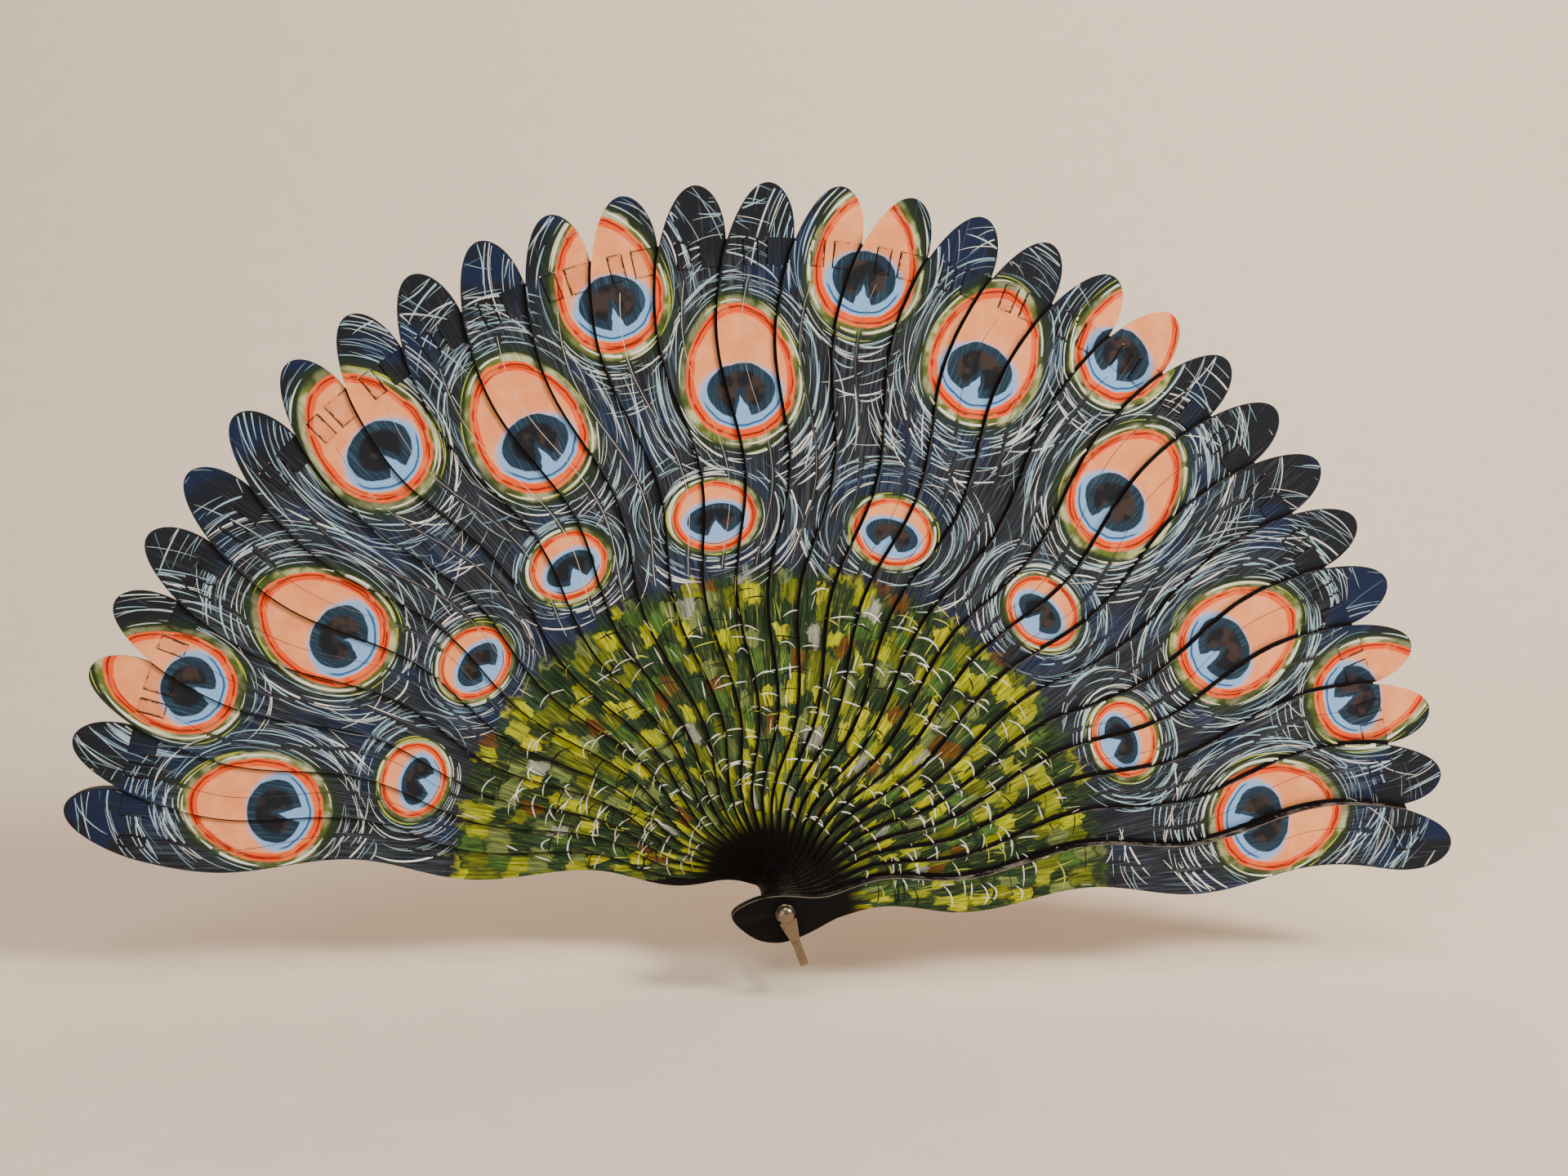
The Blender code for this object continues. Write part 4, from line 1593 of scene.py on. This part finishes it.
    def runs(self) -> dict[int, tuple[np.ndarray, ...]]:
        """Cut the strokes into runs that each lie on one blade.

        A run is sampled anew between its two ends. Its width follows the whole stroke's
        taper, a power of half a sine wave, so a stroke stays one stroke across blades.

        Returns:
            For each blade: runs' stations (runs, stations, 2), half widths at each
            station (runs, stations), pots (runs,) and lifts onto the ribbon (runs,).
        """
        paths = np.concatenate(self.strokes.paths)
        widths = np.concatenate(self.strokes.widths)
        pots = np.concatenate(self.strokes.pots)
        owners = self.painting.owner(paths, self.margin)
        raised = self.over_ribbon(paths, owners)
        last = paths.shape[1] - 1
        found: dict[int, list[tuple[float, ...]]] = {
            index: [] for index in range(self.painting.layout.count)}
        changes = (np.diff(owners, axis=1) != 0) | (np.diff(raised, axis=1) != 0)
        for number, (row, change) in enumerate(zip(owners, changes)):
            cuts = np.concatenate([[0], np.flatnonzero(change) + 1, [last + 1]])
            for low, high in zip(cuts[:-1], cuts[1:]):
                if row[low] >= 0 and high - low > 2:
                    over = float(raised[number, low])
                    found[int(row[low])].append((number, low / last, (high - 1) / last, over))
        made = {}
        for index, rows in found.items():
            if not rows:
                continue
            number, start, end, lifts = np.array(rows).T
            number = number.astype(int)
            t = start[:, None] + (end - start)[:, None] * np.linspace(0, 1, self.run_stations)
            place = t * last
            low = np.clip(place.astype(int), 0, last - 1)
            share = (place - low)[..., None]
            pick = number[:, None]
            stations = paths[pick, low] * (1 - share) + paths[pick, low + 1] * share
            taper = np.sin(math.pi * np.clip(t, 0.0, 1.0)) ** 0.55
            made[index] = (stations, widths[pick] * np.maximum(taper, 0.12), pots[number],
                           lifts)
        return made

    def over_ribbon(self, paths: np.ndarray, owners: np.ndarray) -> np.ndarray:
        """How far each station is lifted to lie on the ribbon: 0 off the ribbon's patch.

        Args:
            paths: the strokes' (x, z) stations.
            owners: the blade that shows at each station.

        Returns:
            Lifts in metres, in the shape of the owners.
        """
        far = np.linalg.norm(paths, axis=-1)
        turn = np.arctan2(paths[..., 1], paths[..., 0])
        lifts = np.zeros(owners.shape)
        for index in range(self.painting.layout.count):
            low, high, radius, lift = self.ribbon.patch(index)
            inside = (turn > low) & (turn < high) & (owners == index)
            inside &= np.abs(far - radius) < self.ribbon.half_width * self.painting.layout.length
            lifts[inside] = lift
        return lifts

    def bead(self, index: int, stations: np.ndarray, widths: np.ndarray,
             pots: np.ndarray, lifts: np.ndarray) -> Surface:
        """The closed beads of one blade's runs.

        Round each station lie a left point, a ridge, a right point and a bottom point.
        The left and right ones sink a little into the blade, the bottom one sinks twice
        as far, and the ridge stands proud.

        Args:
            index: which blade.
            stations: the runs' (x, z) stations.
            widths: half width at each station.
            pots: paint number of each run.
            lifts: how far each run lies above the blade.

        Returns:
            The beads as one surface.
        """
        front, _ = self.painting.layout.faces(index)
        ahead = np.gradient(stations, axis=1)
        ahead /= np.maximum(np.linalg.norm(ahead, axis=-1, keepdims=True), 1e-9)
        aside = np.stack([-ahead[..., 1], ahead[..., 0]], -1) * widths[..., None]
        count, length = stations.shape[:2]
        points = np.zeros((count, length, 4, 3))
        places = (stations + aside, stations + aside * 0.2, stations - aside, stations)
        depths = (front + self.sunk, front - self.relief, front + self.sunk,
                  front + 2.0 * self.sunk)
        for column, (place, depth) in enumerate(zip(places, depths)):
            points[:, :, column, 0] = place[..., 0]
            points[:, :, column, 1] = depth - lifts[:, None]
            points[:, :, column, 2] = place[..., 1]
        start = np.arange(4)
        pattern = np.concatenate([closed_grid(points[0], True, False),
                                  [start[::-1], start + 4 * (length - 1)]])
        quads = (pattern[None] + (np.arange(count) * length * 4)[:, None, None]).reshape(-1, 4)
        return Surface(points.reshape(-1, 3), quads, np.repeat(pots, len(pattern)))

    def build(self) -> None:
        """Make one piece of strokes for each blade and let it ride."""
        layout = self.painting.layout
        total = 0
        for index, (stations, widths, pots, lifts) in self.runs().items():
            surface = self.bead(index, stations, widths, pots, lifts)
            piece = surface.make(f"{layout.names[index]}_strokes", self.materials, True)
            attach(piece, layout.body(index))
            total += len(pots)
        LOG.info("brush strokes: %d runs", total)


# ---- Ribbon ----
@dataclass
class Ribbon:
    """The laced ribbon: on every blade a held part, and a bridge to the next blade.

    In the air gap between two blades the ribbon lies in three layers that never touch:
    close to the rear blade's front, half way, and close to the front blade's back.

    Attributes:
        half_width: half the ribbon's width, as a share of the blades' length.
        width_rows: how many rows of points cross it.
        step_pitch: distance between steps along it, in metres.
        half_gap: half the air between two blades, in metres.
        lift: distance of the outer layers from the middle one, in metres.
        end_reach: how far the glued ends run past their slots, in radians.
    """

    painting: Painting
    thickness: float = 0.0001
    half_width: float = 0.0185
    width_rows: int = 7
    step_pitch: float = 0.0009
    half_gap: float = 0.000175
    lift: float = 0.000105
    end_reach: float = math.radians(0.9)
    materials: list[bpy.types.Material] = field(default_factory=list)

    def dress(self) -> None:
        """Painted cloth where it faces front, plain dark cloth elsewhere."""
        self.materials = [PaintedFront("painted_ribbon", cloth=1.0).build(),
                          DarkCloth("dark_ribbon").build()]

    def gap(self, index: int) -> float:
        """Y of the middle of the air gap in front of a blade, or before or behind all.

        Args:
            index: which blade, or -1 for the gap behind the rear guard.

        Returns:
            The Y, in metres.
        """
        layout = self.painting.layout
        if index < 0:
            return layout.faces(0)[1] + self.half_gap
        front = layout.faces(index)[0]
        if index == layout.last:
            return front - self.half_gap
        return (front + layout.faces(index + 1)[1]) / 2.0

    def patch(self, index: int) -> tuple[float, float, float, float]:
        """Where the ribbon lies in front of one blade.

        Args:
            index: which blade.

        Returns:
            Its lowest and highest direction, its middle's distance from the rivet, and
            how far its top stands off the blade.
        """
        layout = self.painting.layout
        offsets, _ = self.painting.shape.slots(index, layout.last)
        first = layout.angle(index) - offsets[0]
        second = first + self.end_reach if index == 0 else layout.angle(index) - offsets[1]
        depth = self.gap(index) + (0.0 if index == layout.last else self.lift)
        top = layout.faces(index)[0] - depth + self.thickness / 2.0
        return min(first, second), max(first, second), self.radius(index), top

    def radius(self, index: int) -> float:
        """Distance of the ribbon's middle from the rivet at one blade."""
        shape, layout = self.painting.shape, self.painting.layout
        return shape.slots(index, layout.last)[1] * layout.length

    def strip(self, name: str, stops: list[tuple[float, float, float]], body: str,
              index: int) -> bpy.types.Object:
        """A closed strip of cloth through stops of (direction, y, distance).

        The route is filled in with even steps. Its two faces are the route moved half a
        thickness each way along its normal, and its rows cross from the inner edge to
        the outer edge. "strip_place" holds how far across a point lies, from -1 to 1, and
        its millimetres from the nearest stop.

        Args:
            name: the piece's name.
            stops: the route's corners.
            body: the body it rides on.
            index: the blade whose layer it lies in, for the painting.

        Returns:
            The strip.
        """
        corners = np.array(stops)
        flat = np.column_stack([-corners[:, 0] * corners[:, 2], corners[:, 1]])
        gone = np.concatenate([[0.0], np.cumsum(np.linalg.norm(np.diff(flat, axis=0), axis=1))])
        even = np.arange(0.0, gone[-1], self.step_pitch)
        apart = np.abs(even[:, None] - gone[None, :]).min(axis=1) > self.step_pitch * 0.3
        where = np.sort(np.concatenate([even[apart], gone]))
        route = np.column_stack([np.interp(where, gone, column) for column in corners.T])
        line = np.column_stack([np.interp(where, gone, column) for column in flat.T])
        ahead = np.gradient(line, axis=0)
        ahead /= np.linalg.norm(ahead, axis=1, keepdims=True)
        normal = np.column_stack([ahead[:, 1], -ahead[:, 0]]) * self.thickness / 2.0
        rows = np.linspace(-self.half_width, self.half_width, self.width_rows) \
            * self.painting.layout.length
        faces = []
        for side in (1.0, -1.0):
            turn = route[:, 0] - side * normal[:, 0] / route[:, 2]
            depth = route[:, 1] + side * normal[:, 1]
            far = route[:, 2][:, None] + rows[None, :]
            faces.append(np.stack([far * np.cos(turn)[:, None],
                                   np.repeat(depth[:, None], len(rows), axis=1),
                                   far * np.sin(turn)[:, None]], -1))
        loop = np.concatenate([faces[0], faces[1][:, ::-1]], axis=1)
        steps, columns = loop.shape[:2]
        first = np.arange(columns)
        final = first + (steps - 1) * columns
        quads = np.concatenate([closed_grid(loop, True, False)[:, ::-1], capped(first),
                                capped(final)[:, ::-1]])
        points = loop.reshape(-1, 3)
        corner = points[quads]
        facing = np.cross(corner[:, 2] - corner[:, 0], corner[:, 3] - corner[:, 1])
        facing /= np.maximum(np.linalg.norm(facing, axis=1, keepdims=True), 1e-15)
        slots = np.where(facing[:, 1] < -0.6, 0, 1)
        piece = Surface(points, quads, slots).make(name, self.materials, False)
        across = np.tile(np.concatenate([rows, rows[::-1]]) / rows.max(), steps)
        from_fold = np.abs(where[:, None] - gone[None, :]).min(axis=1) / MM
        place = np.column_stack([across, np.repeat(from_fold, columns), across * 0.0])
        attribute = piece.data.attributes.new("strip_place", "FLOAT_VECTOR", "POINT")
        attribute.data.foreach_set("vector", place.astype(np.float32).ravel())
        self.painting.mark(piece, index)
        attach(piece, body)
        return piece

    def build(self) -> None:
        """Lace the ribbon from the rear guard to the front guard."""
        layout, shape = self.painting.layout, self.painting.shape
        for index in range(layout.count):
            offsets, _ = shape.slots(index, layout.last)
            turns = [layout.angle(index) - offset for offset in offsets]
            far, behind, ahead = self.radius(index), self.gap(index - 1), self.gap(index)
            patch, under = ahead + self.lift, behind - self.lift
            if index == 0:
                stops = [(turns[0] + self.end_reach, patch), (turns[0], patch), (turns[0], behind),
                         (turns[1], behind), (turns[1], ahead)]
            elif index == layout.last:
                stops = [(turns[0], behind), (turns[0], ahead), (turns[1], ahead),
                         (turns[1], under), (turns[1] - self.end_reach, under)]
            else:
                stops = [(turns[0], behind), (turns[0], patch), (turns[1], patch),
                         (turns[1], under), (turns[2], under), (turns[2], ahead)]
            held = self.strip(f"ribbon_hold_{index:02d}", [(*stop, far) for stop in stops],
                              layout.body(index), index)
            if index == layout.last:
                continue
            next_offset = shape.slots(index + 1, layout.last)[0][0]
            start, end = turns[-1], layout.angle(index + 1) - next_offset
            stops = [(start, ahead, far), (end, ahead, self.radius(index + 1))]
            bridge = self.strip(f"ribbon_bridge_{index:02d}", stops, layout.body(index), index)
            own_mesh(bridge)
        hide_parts("ribbon")


# ---- Rivet and loop ----
@dataclass
class Hardware:
    """The rivet, its burr and collars, and the loop for a tassel."""

    sides: int = 48
    pin_radius: float = 0.0015
    bore: float = 0.00165
    axis_radius: float = 0.00008
    head_edge: float = 0.00025
    soft: float = 0.00018
    strap_thickness: float = 0.0008
    eye_bore: float = 0.0017
    eye_rim: float = 0.0031
    crossbar_half: float = 0.0014
    loop_length: float = 0.0187
    loop_bend: float = 0.0022
    loop_angle: float = math.radians(20.0)
    squareness: float = 0.32
    materials: list[bpy.types.Material] = field(default_factory=list)

    def dress(self) -> None:
        """One nickel plate for all the metal."""
        self.materials = [Nickel("nickel_plate").build()]

    def turned(self, name: str, profile: list[tuple[float, float]], closed: bool,
               node: str) -> bpy.types.Object:
        """A solid turned about the Y axis.

        A point is (radius times cosine, y, radius times sine) for each profile point and
        each of the even turns.

        Args:
            name: the piece's name.
            profile: (radius, y) points, from front to back along the outside.
            closed: whether the profile's end meets its start, as on a ring.
            node: the CAD node that it stands for.

        Returns:
            The turned piece.
        """
        line = np.array(profile)
        turn = np.linspace(0.0, 2.0 * math.pi, self.sides, endpoint=False)
        points = np.stack([line[:, :1] * np.cos(turn), np.repeat(line[:, 1:], self.sides, 1),
                           line[:, :1] * np.sin(turn)], -1)
        quads = closed_grid(points, True, closed)[:, ::-1]
        if not closed:
            front = np.arange(self.sides)
            back = front + (len(line) - 1) * self.sides
            quads = np.concatenate([quads, capped(front), capped(back)[:, ::-1]])
        surface = Surface(points.reshape(-1, 3), quads, np.zeros(len(quads)))
        piece = surface.make(name, self.materials, True)
        piece.data.set_sharp_from_angle(angle=math.radians(35.0))
        self.finish(piece, node)
        return piece

    def finish(self, piece: bpy.types.Object, node: str) -> None:
        """Let a metal piece ride and stand for its node."""
        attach(piece, FRAME["nodes"][node]["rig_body"])
        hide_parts(node)
        LOG.info("metal %s: %d faces", piece.name, len(piece.data.polygons))

    def dome(self, height: float, radius: float, base: float) -> list[tuple[float, float]]:
        """A domed head's profile from its crown to its rim, with a rolled edge.

        The crown is a quarter ellipse, and the rim turns under with a small round.

        Args:
            height: the crown's height above its base.
            radius: the head's radius.
            base: Y where the crown ends and the rim begins.

        Returns:
            (radius, y) points.
        """
        crown = [(max(radius * math.sin(a), self.axis_radius), base - height * math.cos(a))
                 for a in np.linspace(0.0, math.pi / 2.0, 14)]
        edge = self.head_edge
        under = [(radius - edge * (1.0 - math.cos(a)), base + edge * math.sin(a))
                 for a in np.linspace(0.0, math.pi / 2.0, 5)[1:]]
        return crown + under

    def rivet(self) -> None:
        """The pin with its domed head, the burr that closes it behind, and two collars."""
        low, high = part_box("pivot_pin")
        under_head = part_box("tassel_loop")[0].y - 0.0003
        base = under_head - self.head_edge
        pin = self.dome(base - low.y, high.x, base) + [
            (self.pin_radius, under_head), (self.pin_radius, high.y - 0.0003), (0.0012, high.y),
            (self.axis_radius, high.y)]
        self.turned("rivet_pin", pin, False, "pivot_pin")
        low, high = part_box("rear_burr")
        burr = [(self.bore, low.y), (high.x - 0.0001, low.y), (high.x, low.y + 0.0002),
                (high.x - 0.0004, (low.y + high.y) / 2.0), (0.0023, high.y - 0.00012),
                (0.0019, high.y), (self.bore, high.y)]
        self.turned("rivet_burr", burr, True, "rear_burr")
        for side in ("front", "rear"):
            low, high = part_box(f"{side}_collar")
            flat = high.x - self.soft
            washer = [(self.bore, low.y), (flat, low.y), (high.x, low.y + self.soft),
                      (high.x, high.y - self.soft), (flat, high.y), (self.bore, high.y)]
            self.turned(f"{side}_washer", washer, True, f"{side}_collar")

    def loop(self) -> None:
        """The U-shaped loop: a strap swept down one side, across, and up the other.

        The middle line goes down from the front eye, round a quarter circle, along Y and
        back up. Across it lies a rounded rectangle (cosine and sine to a small power)
        whose width shrinks from the eye to the crossbar. The eyes are round plates with
        the pin's hole. The whole loop is then turned about Y by its angle.
        """
        low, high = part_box("tassel_loop")
        depth = (high.y - low.y) / 2.0 - self.strap_thickness / 2.0
        reach, bend = self.loop_length, self.loop_bend
        down = [(-depth, -s) for s in np.linspace(0.0024, reach - bend, 12)]
        corner = [(-depth + bend * (1.0 - math.cos(a)), -(reach - bend) - bend * math.sin(a))
                  for a in np.linspace(0.0, math.pi / 2.0, 8)[1:]]
        across = [(y, -reach) for y in np.linspace(-depth + bend, depth - bend, 22)[1:-1]]
        half = down + corner
        line = np.array(half + across + [(-y, z) for y, z in half[::-1]])
        ahead = np.gradient(line, axis=0)
        ahead /= np.linalg.norm(ahead, axis=1, keepdims=True)
        normal = np.column_stack([ahead[:, 1], -ahead[:, 0]])
        fall = np.clip(-line[:, 1] / (reach * 0.62), 0.0, 1.0)
        width = self.eye_rim + (self.crossbar_half - self.eye_rim) * ease(fall)
        turn = np.linspace(0.0, 2.0 * math.pi, 20, endpoint=False)
        ring_x = np.sign(np.cos(turn)) * np.abs(np.cos(turn)) ** self.squareness
        ring_n = np.sign(np.sin(turn)) * np.abs(np.sin(turn)) ** self.squareness
        thick = ring_n[None, :] * self.strap_thickness / 2.0
        points = np.stack([width[:, None] * ring_x[None, :], line[:, :1] + normal[:, :1] * thick,
                           line[:, 1:] + normal[:, 1:] * thick], -1)
        count, around = points.shape[:2]
        mesh_points = [points.reshape(-1, 3)]
        mesh_quads = [closed_grid(points, True, False)]
        start = count * around
        for sign in (-1.0, 1.0):
            eye_points, eye_quads = self.eye_plate(sign * depth)
            mesh_points.append(eye_points)
            mesh_quads.append(eye_quads + start)
            start += len(eye_points)
        mesh_quads.append(capped(np.arange(around))[:, ::-1])
        mesh_quads.append(capped(np.arange(around) + (count - 1) * around))
        cloud = np.concatenate(mesh_points)
        swing = -self.loop_angle
        x = cloud[:, 0] * math.cos(swing) + cloud[:, 2] * math.sin(swing)
        z = -cloud[:, 0] * math.sin(swing) + cloud[:, 2] * math.cos(swing)
        cloud = np.column_stack([x, cloud[:, 1], z])
        quads = np.concatenate(mesh_quads)
        surface = Surface(cloud, quads, np.zeros(len(quads)))
        piece = surface.make("tassel_bail", self.materials, True)
        piece.data.set_sharp_from_angle(angle=math.radians(40.0))
        self.finish(piece, "tassel_loop")

    def eye_plate(self, depth: float) -> tuple[np.ndarray, np.ndarray]:
        """One round eye of the loop with rounded rims, turned about the pin.

        The profile is a rounded rectangle from the bore to the rim.

        Args:
            depth: Y of the plate's middle.

        Returns:
            Its points and its quads.
        """
        bore, rim, soft = self.eye_bore, self.eye_rim, self.soft
        half = self.strap_thickness / 2.0
        profile = np.array([
            (bore + soft, -half), (rim - soft, -half), (rim, -half + soft), (rim, half - soft),
            (rim - soft, half), (bore + soft, half), (bore, half - soft), (bore, -half + soft)])
        turn = np.linspace(0.0, 2.0 * math.pi, self.sides, endpoint=False)
        points = np.stack([profile[:, :1] * np.cos(turn),
                           np.repeat(profile[:, 1:], self.sides, 1) + depth,
                           profile[:, :1] * np.sin(turn)], -1)
        return points.reshape(-1, 3), closed_grid(points, True, True)

    def build(self) -> None:
        """Make all the metal."""
        self.rivet()
        self.loop()


# ---- Studio ----
@dataclass
class Studio:
    """A pale floor that curves up behind, soft lights, and the camera."""

    layout: FanLayout
    floor_height: float = -0.030
    azimuth: float = -7.9
    elevation: float = 6.2
    target: tuple[float, float, float] = (0.0117, 0.0, 0.441)
    distance: float = 1.85
    lens: float = 30.0
    paper: tuple[Colour, Colour] = ((0.780, 0.650, 0.520), (0.830, 0.705, 0.575))

    def floor(self) -> None:
        """A sheet that runs level, then bends up on a quarter circle to a back wall."""
        material = Shader("studio_paper")
        fine = material.noise(material.object_place(), 60.0, 4.0, 0.6)
        material.finish(material.mix(fine, *self.paper), 0.9)
        bend, back, far = 0.5, 0.75, 4.0
        turn = np.linspace(0.0, math.pi / 2.0, 17)
        curve = np.column_stack([back - bend + bend * np.sin(turn), bend * (1 - np.cos(turn))])
        profile = np.concatenate([[(-far, 0.0)], curve, [(back, far)]])
        x = np.linspace(-far, far, 9)
        points = np.stack([np.repeat(x[None, :], len(profile), 0),
                           np.repeat(profile[:, :1], len(x), 1),
                           np.repeat(profile[:, 1:], len(x), 1) + self.floor_height], -1)
        quads = closed_grid(points, False, False)
        sheet = Surface(points.reshape(-1, 3), quads, np.zeros(len(quads)))
        sheet.make("studio_floor", [material.material], True)

    def light(self, name: str, place: tuple[float, float, float], power: float, size: float,
              colour: Colour) -> None:
        """One square soft light that points at the fan's middle.

        Args:
            name: its name.
            place: where it stands.
            power: watts.
            size: length of its side.
            colour: its colour.
        """
        data = bpy.data.lights.new(name, "AREA")
        data.energy = power
        data.size = size
        data.color = colour
        lamp = bpy.data.objects.new(name, data)
        lamp.location = place
        aim = Vector((0.0, 0.0, 0.1)) - Vector(place)
        lamp.rotation_euler = aim.to_track_quat("-Z", "Y").to_euler()
        bpy.context.scene.collection.objects.link(lamp)

    def lights(self) -> None:
        """A key from the right, a fill from the left, and a dim warm room."""
        self.light("key_light", (1.15, -0.85, 1.05), 34.0, 0.40, (1.0, 0.955, 0.90))
        self.light("fill_light", (-1.1, -1.4, 0.6), 9.0, 1.2, (0.93, 0.96, 1.0))
        self.light("top_light", (0.0, -0.6, 1.6), 9.0, 0.8, (1.0, 0.97, 0.92))
        world = bpy.data.worlds.new("studio_room")
        world.use_nodes = True
        glow = world.node_tree.nodes["Background"]
        glow.inputs["Color"].default_value = (0.84, 0.795, 0.735, 1.0)
        glow.inputs["Strength"].default_value = 0.50
        bpy.context.scene.world = world

    def camera(self) -> None:
        """A camera in front of the fan, slightly left of its middle and above it."""
        a, e = math.radians(self.azimuth), math.radians(self.elevation)
        back = Vector((math.sin(a) * math.cos(e), -math.cos(a) * math.cos(e), math.sin(e)))
        data = bpy.data.cameras.new("studio_camera")
        data.lens = self.lens
        data.sensor_width = 36.0
        data.clip_start = 0.01
        camera = bpy.data.objects.new("studio_camera", data)
        target = Vector(self.target) * self.layout.length
        camera.location = target + back * self.distance * self.layout.length
        camera.rotation_euler = (-back).to_track_quat("-Z", "Y").to_euler()
        bpy.context.scene.collection.objects.link(camera)
        bpy.context.scene.camera = camera

    def build(self) -> None:
        """Set up the whole studio."""
        self.floor()
        self.lights()
        self.camera()


def main() -> None:
    """Build the fan's pieces in order, then the studio."""
    layout = FanLayout.from_frame()
    painting = Painting(layout, BladeShape())
    blades = Blades(painting)
    blades.dress()
    blades.build()
    ribbon = Ribbon(painting)
    ribbon.dress()
    ribbon.build()
    brushwork = Brushwork(painting, ribbon)
    brushwork.dress()
    brushwork.plan()
    brushwork.build()
    hardware = Hardware()
    hardware.dress()
    hardware.build()
    Studio(layout).build()


if __name__ == "__main__":
    main()
